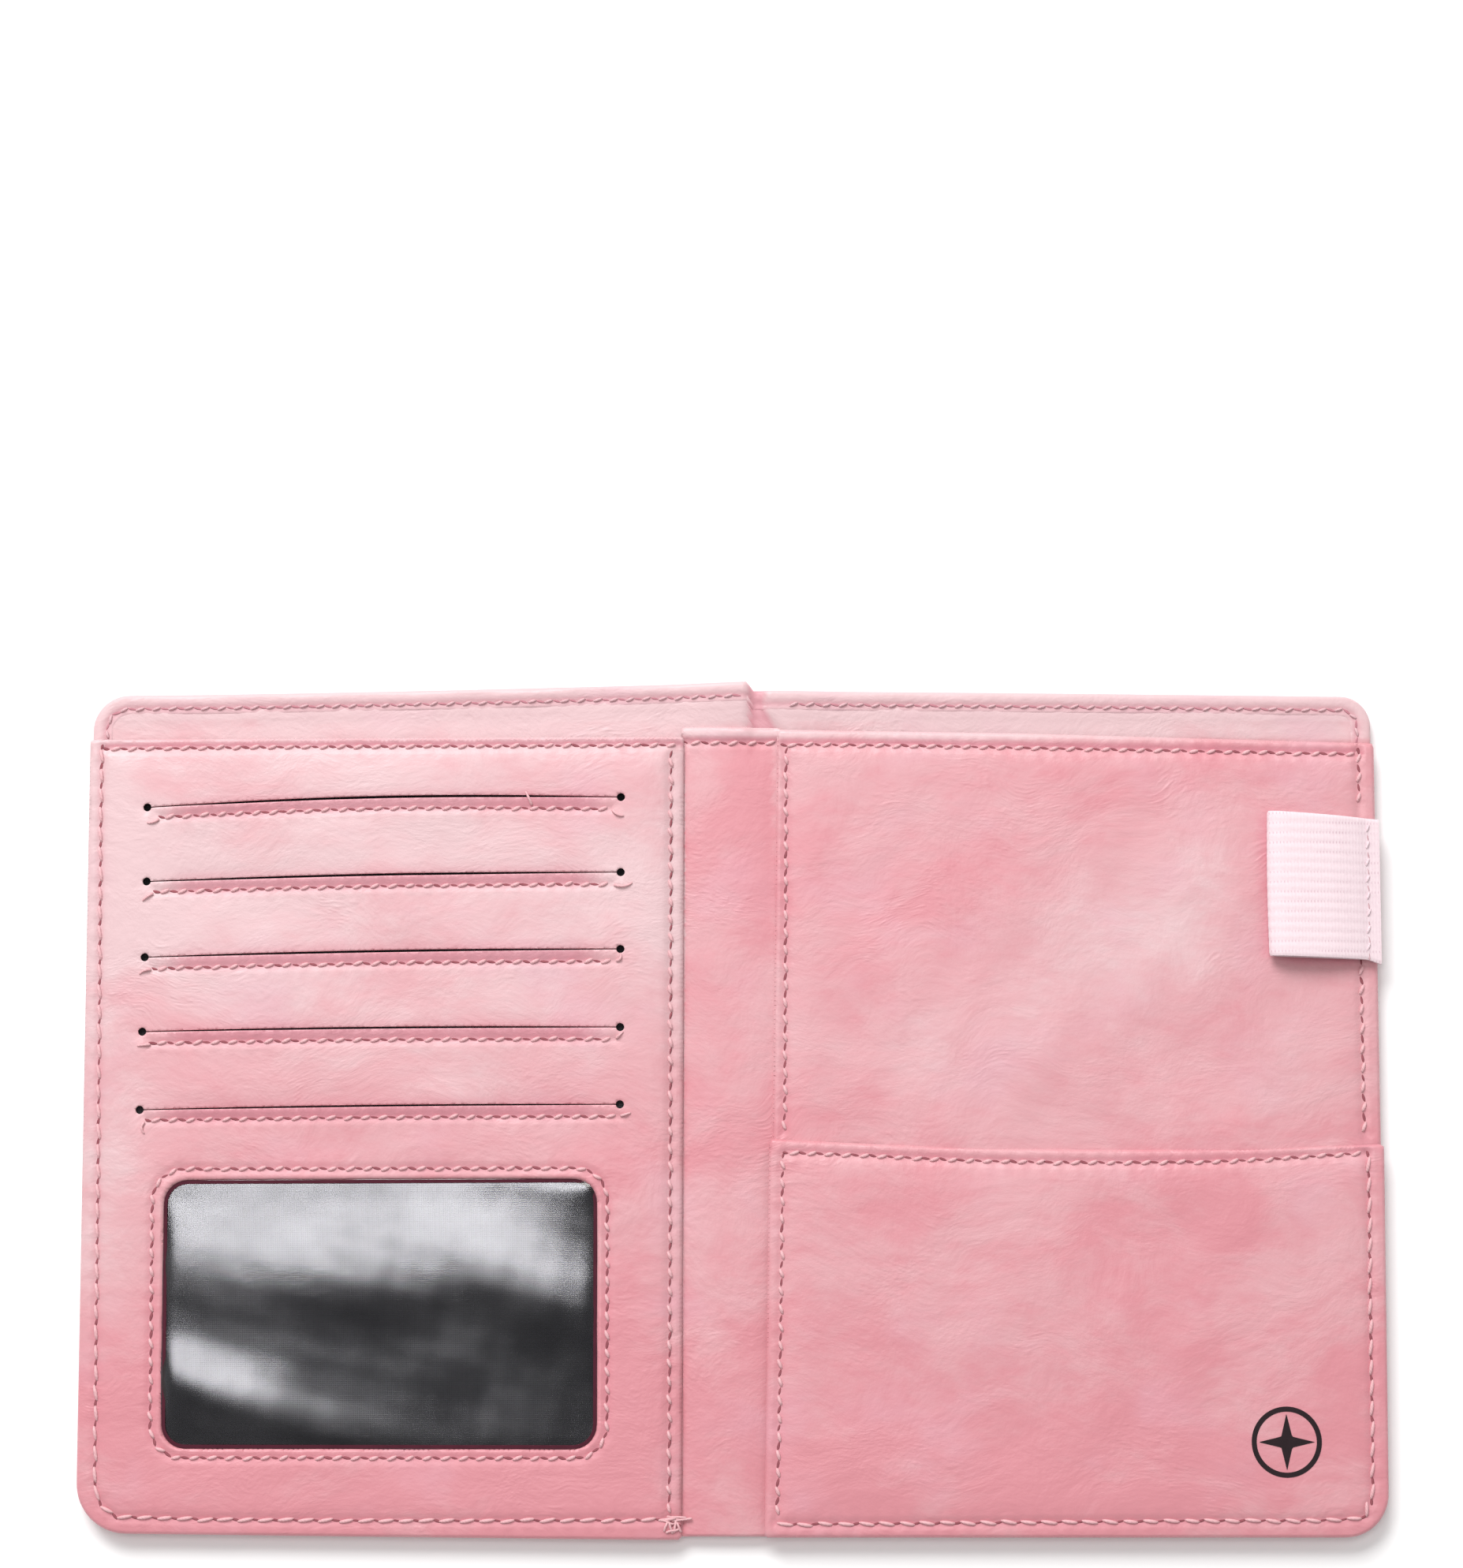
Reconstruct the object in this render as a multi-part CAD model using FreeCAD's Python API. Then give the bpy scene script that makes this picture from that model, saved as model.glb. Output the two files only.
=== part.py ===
import FreeCAD, Part
import math
import os

# Passport holder lying open and flat, inside up. Millimetres.
# X runs across both halves, Y up the page, Z up from the outside of the cover.
# The origin is under the middle of the open holder, on the surface it lies on.

# ------------------------------------------------------------ driving dimensions
OPEN_WIDTH = 235.0
HEIGHT = 153.0
CORNER_RADIUS = 6.3

LEFT_CREASE_X = -8.4            # fold between the card half and the spine
RIGHT_CREASE_X = 5.6            # fold between the spine and the passport half
CREASE_GAP = 0.15               # each side of a fold line

COVER_THICKNESS = 0.8
BOARD_THICKNESS = 1.0
LINING_THICKNESS = 0.4
LIP_THICKNESS = 0.5             # cover leather turned over the edge of the lining
BACKING_THICKNESS = 0.3
SLEEVE_BACKING_THICKNESS = 0.5
POUCH_THICKNESS = 0.2
FILM_THICKNESS = 0.2
CARD_PANEL_THICKNESS = 0.7
PANEL_THICKNESS = 0.6
HEM_THICKNESS = 0.5             # second layer of leather along a turned edge
POCKET_HEM_THICKNESS = 0.4
EMBLEM_THICKNESS = 0.15

HEM_WIDTH = 5.0
BOARD_SETBACK = 1.5             # boards stop short of the folds
EDGE_WALL = 0.7
LIP_WIDTH = 3.7
PANEL_TOP_Y = 68.0
STRIP_TOP_Y = 68.8
CARD_PANEL_EDGE_X = -8.9
PASSPORT_PANEL_EDGE_X = 7.1
POCKET_TOP_Y = -6.8
MOUTH_GAP = 0.3                 # the sleeve's open side stands clear of its backing

SLIT_LEFT_X = -106.6
SLIT_RIGHT_X = -20.3
SLIT_TOP_Y = 56.0
SLIT_PITCH = 13.8
SLIT_COUNT = 5
SLIT_WIDTH = 0.35
SLIT_HOLE_RADIUS = 0.75
POUCH_SIDE_MARGIN = 2.8
POUCH_ABOVE_SLIT = 4.0
POUCH_DEPTH = 50.0

WINDOW_LEFT_X = -102.5
WINDOW_RIGHT_X = -24.4
WINDOW_BOTTOM_Y = -60.8
WINDOW_TOP_Y = -12.9
WINDOW_RADIUS = 4.0
FILM_BORDER = 4.4

LOOP_NOSE_X = 97.5
LOOP_ROOT_X = 115.0
LOOP_BOTTOM_Y = 27.3
LOOP_TOP_Y = 53.4
LOOP_THICKNESS = 0.8
LOOP_CLEARANCE = 0.3
LOOP_HEIGHT = 3.6
LOOP_ROOT_HEIGHT = 1.6
TAB_LEFT_X = 115.3
TAB_THICKNESS = 0.5

EMBLEM_X = 99.4
EMBLEM_Y = -59.6
EMBLEM_RADIUS = 6.3
EMBLEM_RING_WIDTH = 0.8
STAR_LONG_RADIUS = 4.9
STAR_SHORT_RADIUS = 1.3

STITCH_PITCH = 3.2
STITCH_LENGTH = 2.3
STITCH_WIDTH = 0.5
STITCH_HEIGHT = 0.25
SEAM_INSET = 2.8
HEM_SEAM_INSET = 1.9
SLIT_SEAM_DROP = 2.2
SLIT_SEAM_MARGIN = 2.2
WINDOW_SEAM_OFFSET = 1.9
GROOVE_DEPTH = 0.35             # the outside stitches lie sunk in the cover
GROOVE_WIDTH = 0.9

# ------------------------------------------------------------ derived levels and edges
LEFT_X = -OPEN_WIDTH / 2
RIGHT_X = OPEN_WIDTH / 2
BOTTOM_Y = -HEIGHT / 2
TOP_Y = HEIGHT / 2
LEFT_HALF_END_X = LEFT_CREASE_X - CREASE_GAP
SPINE_START_X = LEFT_CREASE_X + CREASE_GAP
SPINE_END_X = RIGHT_CREASE_X - CREASE_GAP
RIGHT_HALF_START_X = RIGHT_CREASE_X + CREASE_GAP

BOARD_Z = COVER_THICKNESS
LINING_Z = BOARD_Z + BOARD_THICKNESS
LIP_Z = LINING_Z + LINING_THICKNESS
INNER_Z = LIP_Z + LIP_THICKNESS                     # underside of everything sewn inside
SLEEVE_Z = INNER_Z + SLEEVE_BACKING_THICKNESS       # top of the sleeve backing and strip
PANEL_SHEET_Z = SLEEVE_Z + HEM_THICKNESS
PANEL_FACE_Z = PANEL_SHEET_Z + PANEL_THICKNESS
POCKET_SHEET_Z = PANEL_FACE_Z + POCKET_HEM_THICKNESS
POCKET_FACE_Z = POCKET_SHEET_Z + PANEL_THICKNESS
POUCH_Z = INNER_Z + BACKING_THICKNESS
ID_POUCH_Z = POUCH_Z + POUCH_THICKNESS * (SLIT_COUNT - 1)
FILM_Z = ID_POUCH_Z + POUCH_THICKNESS
CARD_SHEET_Z = FILM_Z + FILM_THICKNESS
CARD_FACE_Z = CARD_SHEET_Z + CARD_PANEL_THICKNESS

HUGE = 20.0                     # how far a cutter runs past an open edge


# ------------------------------------------------------------ shape helpers
def vec(x, y, z=0.0):
    return FreeCAD.Vector(x, y, z)


def corner_arc(cx, cy, radius, start_deg, z):
    """Quarter circle about (cx, cy), anticlockwise from start_deg."""
    points = []
    for step in (0.0, 45.0, 90.0):
        angle = math.radians(start_deg + step)
        points.append(vec(cx + radius * math.cos(angle), cy + radius * math.sin(angle), z))
    return points


def outline(x0, x1, y0, y1, z, radii):
    """Closed rectangle wire; radii are for its lower left, lower right, upper right, upper left."""
    centres = [(x0, y0, 1, 1, 180.0), (x1, y0, -1, 1, 270.0), (x1, y1, -1, -1, 0.0), (x0, y1, 1, -1, 90.0)]
    corners = []
    for (x, y, sx, sy, start), radius in zip(centres, radii):
        if radius > 0:
            corners.append(corner_arc(x + sx * radius, y + sy * radius, radius, start, z))
        else:
            corners.append([vec(x, y, z)])
    edges = []
    for index, corner in enumerate(corners):
        if len(corner) == 3:
            edges.append(Part.Arc(*corner).toShape())
        following = corners[(index + 1) % len(corners)]
        edges.append(Part.LineSegment(corner[-1], following[0]).toShape())
    return Part.Wire(edges)


def slab(x0, x1, y0, y1, z0, z1, radii=(0, 0, 0, 0)):
    face = Part.Face(outline(x0, x1, y0, y1, z0, radii))
    return face.extrude(vec(0, 0, z1 - z0))


def left_radii(inset=0.0):
    radius = CORNER_RADIUS - inset
    return (radius, 0, 0, radius)


def right_radii(inset=0.0):
    radius = CORNER_RADIUS - inset
    return (0, radius, radius, 0)


def inset_slab(side, inset, z0, z1, crease_x, run_past=0.0):
    """Slab with the outline of one half, drawn in by inset on its three outer edges."""
    if side == "left":
        return slab(LEFT_X + inset, crease_x + run_past, BOTTOM_Y + inset, TOP_Y - inset,
                    z0, z1, left_radii(inset))
    return slab(crease_x - run_past, RIGHT_X - inset, BOTTOM_Y + inset, TOP_Y - inset,
                z0, z1, right_radii(inset))


def edge_band(side, width, z0, z1, crease_x):
    """Band of a given width along the three outer edges of one half, open at the crease."""
    outer = inset_slab(side, 0.0, z0, z1, crease_x)
    return outer.cut(inset_slab(side, width, z0 - 1, z1 + 1, crease_x, HUGE))


def export(name, shape):
    shape.exportStep(os.path.join("parts", name + ".step"))
    print(name, "solids", len(shape.Solids), "valid", shape.isValid(), "mm3", round(shape.Volume, 1))


# ------------------------------------------------------------ stitches
def stitch(x, y, z, direction_deg):
    """One thread loop lying along direction_deg, centred on (x, y), with its underside at z."""
    box = Part.makeBox(STITCH_LENGTH, STITCH_WIDTH, STITCH_HEIGHT,
                       vec(-STITCH_LENGTH / 2, -STITCH_WIDTH / 2, 0))
    box.rotate(vec(0, 0, 0), vec(0, 0, 1), direction_deg)
    box.translate(vec(x, y, z))
    return box


def straight_seam(x0, y0, x1, y1, z):
    """Row of evenly spaced stitches from one point to another."""
    length = math.hypot(x1 - x0, y1 - y0)
    count = max(1, int(length / STITCH_PITCH))
    direction = math.degrees(math.atan2(y1 - y0, x1 - x0))
    row = []
    for index in range(count):
        t = (index + 0.5) / count
        row.append(stitch(x0 + (x1 - x0) * t, y0 + (y1 - y0) * t, z, direction))
    return row


def corner_seam(cx, cy, radius, start_deg, z):
    """Stitches round a quarter circle about (cx, cy)."""
    count = max(1, int(radius * math.pi / 2 / STITCH_PITCH + 0.5))
    row = []
    for index in range(count):
        angle_deg = start_deg + 90.0 * (index + 0.5) / count
        angle = math.radians(angle_deg)
        row.append(stitch(cx + radius * math.cos(angle), cy + radius * math.sin(angle), z, angle_deg + 90))
    return row


# ------------------------------------------------------------ outer cover, boards, lining
def outside_groove(side, crease_x):
    outer_inset = SEAM_INSET - GROOVE_WIDTH / 2
    inner_inset = SEAM_INSET + GROOVE_WIDTH / 2
    band = inset_slab(side, outer_inset, -1, GROOVE_DEPTH, crease_x, HUGE)
    return band.cut(inset_slab(side, inner_inset, -2, GROOVE_DEPTH + 1, crease_x, 2 * HUGE))


def outer_cover(side, crease_x):
    """Leather skin of one half: its face, its turned edge and the lip sewn over the lining."""
    face = inset_slab(side, 0.0, 0.0, COVER_THICKNESS, crease_x)
    hem = edge_band(side, HEM_WIDTH, BOARD_Z, LINING_Z, crease_x)
    wall = edge_band(side, EDGE_WALL, LINING_Z, LIP_Z, crease_x)
    lip = edge_band(side, LIP_WIDTH, LIP_Z, INNER_Z, crease_x)
    skin = face.fuse([hem, wall, lip])
    return skin.cut(outside_groove(side, crease_x)).removeSplitter()


def outer_cover_spine():
    """Leather skin between the folds, with the same turned edges at top and bottom."""
    skin = slab(SPINE_START_X, SPINE_END_X, BOTTOM_Y, TOP_Y, 0.0, COVER_THICKNESS)
    for edge_y, inward in ((TOP_Y, -1), (BOTTOM_Y, 1)):
        for width, z0, z1 in ((HEM_WIDTH, BOARD_Z, LINING_Z), (EDGE_WALL, LINING_Z, LIP_Z),
                              (LIP_WIDTH, LIP_Z, INNER_Z)):
            y0, y1 = sorted((edge_y, edge_y + inward * width))
            skin = skin.fuse(slab(SPINE_START_X, SPINE_END_X, y0, y1, z0, z1))
    seam_y = TOP_Y - SEAM_INSET
    groove = slab(SPINE_START_X - 1, SPINE_END_X + 1, seam_y - GROOVE_WIDTH / 2,
                  seam_y + GROOVE_WIDTH / 2, -1, GROOVE_DEPTH)
    return skin.cut(groove).removeSplitter()


def stiffener_board(side, crease_x):
    """Flat board inside the turned edge of the cover, short of the fold."""
    away_from_crease = -1 if side == "left" else 1
    board_edge_x = crease_x + away_from_crease * BOARD_SETBACK
    return inset_slab(side, HEM_WIDTH, BOARD_Z, LINING_Z, board_edge_x)


def cover_lining(side, crease_x):
    return inset_slab(side, EDGE_WALL, LINING_Z, LIP_Z, crease_x)


def cover_lining_spine():
    return slab(SPINE_START_X, SPINE_END_X, BOTTOM_Y + EDGE_WALL, TOP_Y - EDGE_WALL, LINING_Z, LIP_Z)


# ------------------------------------------------------------ card half
def slit_y(index):
    return SLIT_TOP_Y - SLIT_PITCH * index


def card_slit_cutter(y):
    z0 = CARD_SHEET_Z - 0.1
    height = CARD_PANEL_THICKNESS + 0.2
    cutter = Part.makeBox(SLIT_RIGHT_X - SLIT_LEFT_X, SLIT_WIDTH, height,
                          vec(SLIT_LEFT_X, y - SLIT_WIDTH / 2, z0))
    for hole_x in (SLIT_LEFT_X, SLIT_RIGHT_X):
        cutter = cutter.fuse(Part.makeCylinder(SLIT_HOLE_RADIUS, height, vec(hole_x, y, z0)))
    return cutter


def card_panel():
    """Leather panel with five card slits and an ID window, on a hem that frames the pouches."""
    radii = (CORNER_RADIUS, 0, 0, 0)
    sheet = slab(LEFT_X, CARD_PANEL_EDGE_X, BOTTOM_Y, PANEL_TOP_Y, CARD_SHEET_Z, CARD_FACE_Z, radii)
    hem = slab(LEFT_X, CARD_PANEL_EDGE_X, BOTTOM_Y, PANEL_TOP_Y, POUCH_Z, CARD_SHEET_Z, radii)
    hem = hem.cut(slab(LEFT_X + HEM_WIDTH, CARD_PANEL_EDGE_X - HEM_WIDTH, BOTTOM_Y + HEM_WIDTH,
                       PANEL_TOP_Y - HEM_WIDTH, POUCH_Z - 1, CARD_SHEET_Z + 1))
    panel = sheet.fuse(hem)
    for index in range(SLIT_COUNT):
        panel = panel.cut(card_slit_cutter(slit_y(index)))
    window = slab(WINDOW_LEFT_X, WINDOW_RIGHT_X, WINDOW_BOTTOM_Y, WINDOW_TOP_Y,
                  CARD_SHEET_Z - 1, CARD_FACE_Z + 1, (WINDOW_RADIUS,) * 4)
    return panel.cut(window).removeSplitter()


def card_panel_backing():
    return slab(LEFT_X, CARD_PANEL_EDGE_X, BOTTOM_Y, PANEL_TOP_Y, INNER_Z, POUCH_Z, (CORNER_RADIUS, 0, 0, 0))


def fabric_pouch(top_y, bottom_y, z):
    """Thin folded cloth bag, flat while it is empty."""
    return slab(SLIT_LEFT_X - POUCH_SIDE_MARGIN, SLIT_RIGHT_X + POUCH_SIDE_MARGIN, bottom_y, top_y,
                z, z + POUCH_THICKNESS)


def card_pocket(index):
    y = slit_y(index)
    return fabric_pouch(y + POUCH_ABOVE_SLIT, y - POUCH_DEPTH, POUCH_Z + POUCH_THICKNESS * index)


def id_pocket():
    """The lowest slit feeds this pocket, which lies behind the window."""
    return fabric_pouch(slit_y(SLIT_COUNT - 1) + POUCH_ABOVE_SLIT, WINDOW_BOTTOM_Y - FILM_BORDER, ID_POUCH_Z)


def id_window_film():
    return slab(WINDOW_LEFT_X - FILM_BORDER, WINDOW_RIGHT_X + FILM_BORDER, WINDOW_BOTTOM_Y - FILM_BORDER,
                WINDOW_TOP_Y + FILM_BORDER, FILM_Z, CARD_SHEET_Z)


# ------------------------------------------------------------ passport half and spine
def sleeve_backing():
    return slab(RIGHT_HALF_START_X, RIGHT_X, BOTTOM_Y, PANEL_TOP_Y, INNER_Z, SLEEVE_Z, (0, CORNER_RADIUS, 0, 0))


def spine_strip():
    return slab(SPINE_START_X, SPINE_END_X, BOTTOM_Y, STRIP_TOP_Y, INNER_Z, SLEEVE_Z)


def hemmed_panel(top_y, under_z, sheet_z, face_z, mouth):
    """Leather panel with its edges turned under; mouth is the open edge, left or top."""
    radii = (0, CORNER_RADIUS, 0, 0)
    sheet = slab(PASSPORT_PANEL_EDGE_X, RIGHT_X, BOTTOM_Y, top_y, sheet_z, face_z, radii)
    hem = slab(PASSPORT_PANEL_EDGE_X, RIGHT_X, BOTTOM_Y, top_y, under_z, sheet_z, radii)
    hem = hem.cut(slab(PASSPORT_PANEL_EDGE_X + HEM_WIDTH, RIGHT_X - HEM_WIDTH, BOTTOM_Y + HEM_WIDTH,
                       top_y - HEM_WIDTH, under_z - 1, sheet_z + 1))
    if mouth == "left":
        mouth_relief = slab(PASSPORT_PANEL_EDGE_X - 1, PASSPORT_PANEL_EDGE_X + HEM_WIDTH + 1,
                            BOTTOM_Y + HEM_WIDTH, top_y - HEM_WIDTH, under_z - 1, under_z + MOUTH_GAP)
    else:
        mouth_relief = slab(PASSPORT_PANEL_EDGE_X + HEM_WIDTH, RIGHT_X - HEM_WIDTH,
                            top_y - HEM_WIDTH - 1, top_y + 1, under_z - 1, under_z + MOUTH_GAP)
    return sheet.fuse(hem).cut(mouth_relief).removeSplitter()


def passport_panel():
    return hemmed_panel(PANEL_TOP_Y, SLEEVE_Z, PANEL_SHEET_Z, PANEL_FACE_Z, "left")


def boarding_pass_pocket():
    return hemmed_panel(POCKET_TOP_Y, PANEL_FACE_Z, POCKET_SHEET_Z, POCKET_FACE_Z, "top")


def emblem():
    """Printed compass star in a ring."""
    z = POCKET_FACE_Z
    ring = Part.makeCylinder(EMBLEM_RADIUS, EMBLEM_THICKNESS, vec(EMBLEM_X, EMBLEM_Y, z))
    hole = Part.makeCylinder(EMBLEM_RADIUS - EMBLEM_RING_WIDTH, EMBLEM_THICKNESS, vec(EMBLEM_X, EMBLEM_Y, z))
    points = []
    for index in range(8):
        radius = STAR_LONG_RADIUS if index % 2 == 0 else STAR_SHORT_RADIUS
        angle = math.radians(45.0 * index)
        points.append(vec(EMBLEM_X + radius * math.cos(angle), EMBLEM_Y + radius * math.sin(angle), z))
    star = Part.Face(Part.makePolygon(points + [points[0]])).extrude(vec(0, 0, EMBLEM_THICKNESS))
    return Part.makeCompound([ring.cut(hole), star])


# ------------------------------------------------------------ pen loop
def loop_outline(shrink, y):
    """Section of the flattened elastic loop: round nose on the left, pinched at the root."""
    bottom = PANEL_FACE_Z + LOOP_CLEARANCE + shrink
    top = PANEL_FACE_Z + LOOP_CLEARANCE + LOOP_HEIGHT - shrink
    nose_radius = (top - bottom) / 2
    nose_x = LOOP_NOSE_X + LOOP_HEIGHT / 2
    if shrink > 0:
        root_x = LOOP_ROOT_X - 3.5
        root_top = bottom + 0.25
    else:
        root_x = LOOP_ROOT_X
        root_top = bottom + LOOP_ROOT_HEIGHT
    root_low = vec(root_x, y, bottom)
    root_high = vec(root_x, y, root_top)
    nose_low = vec(nose_x, y, bottom)
    nose_tip = vec(nose_x - nose_radius, y, bottom + nose_radius)
    nose_high = vec(nose_x, y, top)
    middle_x = (nose_x + root_x) / 2
    middle_z = (top + root_top) / 2 + 0.45 * nose_radius / (LOOP_HEIGHT / 2)
    return Part.Wire([
        Part.LineSegment(root_low, nose_low).toShape(),
        Part.Arc(nose_low, nose_tip, nose_high).toShape(),
        Part.Arc(nose_high, vec(middle_x, y, middle_z), root_high).toShape(),
        Part.LineSegment(root_high, root_low).toShape(),
    ])


def pen_loop():
    width = vec(0, LOOP_TOP_Y - LOOP_BOTTOM_Y, 0)
    outer = Part.Face(loop_outline(0.0, LOOP_BOTTOM_Y)).extrude(width)
    inner = Part.Face(loop_outline(LOOP_THICKNESS, LOOP_BOTTOM_Y)).extrude(width)
    return outer.cut(inner)


def pen_loop_tab():
    """End of the elastic, sewn flat on the edge of the passport panel."""
    return slab(TAB_LEFT_X, RIGHT_X, LOOP_BOTTOM_Y, LOOP_TOP_Y, PANEL_FACE_Z, PANEL_FACE_Z + TAB_THICKNESS)


# ------------------------------------------------------------ seams
def perimeter_seam(side, crease_x):
    """Seam round one half, seen inside on the lip and the panels and outside in its groove."""
    sign = -1 if side == "left" else 1
    edge_x = sign * (OPEN_WIDTH / 2 - SEAM_INSET)
    low_y = BOTTOM_Y + SEAM_INSET
    high_y = TOP_Y - SEAM_INSET
    turn = CORNER_RADIUS - SEAM_INSET
    turn_x = edge_x - sign * turn
    stop_x = crease_x + sign * 1.0
    panel_edge_x = CARD_PANEL_EDGE_X - 1.0 if side == "left" else PASSPORT_PANEL_EDGE_X + 1.0
    low_face_z = CARD_FACE_Z if side == "left" else POCKET_FACE_Z
    low_start_deg = 180.0 if side == "left" else 270.0
    high_start_deg = 90.0 if side == "left" else 0.0
    panel_start_y = PANEL_TOP_Y - 1.0
    row = straight_seam(stop_x, high_y, turn_x, high_y, INNER_Z)
    row += corner_seam(turn_x, high_y - turn, turn, high_start_deg, INNER_Z)
    row += straight_seam(edge_x, high_y - turn, edge_x, PANEL_TOP_Y + 0.3, INNER_Z)
    if side == "left":
        row += straight_seam(edge_x, panel_start_y, edge_x, low_y + turn, CARD_FACE_Z)
    else:
        row += straight_seam(edge_x, panel_start_y, edge_x, LOOP_TOP_Y + 0.6, PANEL_FACE_Z)
        row += straight_seam(edge_x, LOOP_BOTTOM_Y - 0.6, edge_x, POCKET_TOP_Y + 0.5, PANEL_FACE_Z)
        row += straight_seam(edge_x, POCKET_TOP_Y - 0.5, edge_x, low_y + turn, POCKET_FACE_Z)
    row += corner_seam(turn_x, low_y + turn, turn, low_start_deg, low_face_z)
    row += straight_seam(turn_x, low_y, panel_edge_x, low_y, low_face_z)
    under_z = GROOVE_DEPTH - STITCH_HEIGHT
    row += straight_seam(stop_x, high_y, turn_x, high_y, under_z)
    row += corner_seam(turn_x, high_y - turn, turn, high_start_deg, under_z)
    row += straight_seam(edge_x, high_y - turn, edge_x, low_y + turn, under_z)
    row += corner_seam(turn_x, low_y + turn, turn, low_start_deg, under_z)
    row += straight_seam(turn_x, low_y, stop_x, low_y, under_z)
    return row


def spine_seam():
    """Top of the strip, and the perimeter seam where it crosses the spine."""
    start_x = SPINE_START_X + 0.5
    end_x = SPINE_END_X - 0.5
    high_y = TOP_Y - SEAM_INSET
    hem_y = STRIP_TOP_Y - HEM_SEAM_INSET
    row = straight_seam(start_x, high_y, end_x, high_y, INNER_Z)
    row += straight_seam(start_x, high_y, end_x, high_y, GROOVE_DEPTH - STITCH_HEIGHT)
    row += straight_seam(start_x, hem_y, end_x, hem_y, SLEEVE_Z)
    return row


def card_slit_seams():
    row = []
    for index in range(SLIT_COUNT):
        y = slit_y(index) - SLIT_SEAM_DROP
        row += straight_seam(SLIT_LEFT_X + SLIT_SEAM_MARGIN, y, SLIT_RIGHT_X - SLIT_SEAM_MARGIN / 2, y, CARD_FACE_Z)
    return row


def id_window_seam():
    x0 = WINDOW_LEFT_X - WINDOW_SEAM_OFFSET
    x1 = WINDOW_RIGHT_X + WINDOW_SEAM_OFFSET
    y0 = WINDOW_BOTTOM_Y - WINDOW_SEAM_OFFSET
    y1 = WINDOW_TOP_Y + WINDOW_SEAM_OFFSET
    radius = WINDOW_RADIUS + WINDOW_SEAM_OFFSET
    z = CARD_FACE_Z
    row = straight_seam(x0 + radius, y0, x1 - radius, y0, z)
    row += corner_seam(x1 - radius, y0 + radius, radius, 270.0, z)
    row += straight_seam(x1, y0 + radius, x1, y1 - radius, z)
    row += corner_seam(x1 - radius, y1 - radius, radius, 0.0, z)
    row += straight_seam(x1 - radius, y1, x0 + radius, y1, z)
    row += corner_seam(x0 + radius, y1 - radius, radius, 90.0, z)
    row += straight_seam(x0, y1 - radius, x0, y0 + radius, z)
    row += corner_seam(x0 + radius, y0 + radius, radius, 180.0, z)
    return row


def card_panel_top_seam():
    y = PANEL_TOP_Y - HEM_SEAM_INSET
    return straight_seam(LEFT_X + SEAM_INSET + 1.0, y, CARD_PANEL_EDGE_X - 1.0, y, CARD_FACE_Z)


def card_panel_edge_seam():
    x = CARD_PANEL_EDGE_X - HEM_SEAM_INSET
    return straight_seam(x, PANEL_TOP_Y - HEM_SEAM_INSET - 1.0, x, BOTTOM_Y + SEAM_INSET + 1.0, CARD_FACE_Z)


def passport_panel_top_seam():
    y = PANEL_TOP_Y - HEM_SEAM_INSET
    return straight_seam(PASSPORT_PANEL_EDGE_X + 1.0, y, RIGHT_X - SEAM_INSET - 1.0, y, PANEL_FACE_Z)


def passport_panel_edge_seam():
    x = PASSPORT_PANEL_EDGE_X + HEM_SEAM_INSET
    row = straight_seam(x, PANEL_TOP_Y - HEM_SEAM_INSET - 1.0, x, POCKET_TOP_Y + 0.5, PANEL_FACE_Z)
    row += straight_seam(x, POCKET_TOP_Y - 0.5, x, BOTTOM_Y + SEAM_INSET + 1.0, POCKET_FACE_Z)
    return row


def boarding_pocket_seam():
    y = POCKET_TOP_Y - HEM_SEAM_INSET
    start_x = PASSPORT_PANEL_EDGE_X + HEM_SEAM_INSET + 1.0
    return straight_seam(start_x, y, RIGHT_X - SEAM_INSET - 1.0, y, POCKET_FACE_Z)


def pen_loop_seam():
    x = (TAB_LEFT_X + RIGHT_X) / 2
    return straight_seam(x, LOOP_BOTTOM_Y + 0.5, x, LOOP_TOP_Y - 0.5, PANEL_FACE_Z + TAB_THICKNESS)


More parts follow.
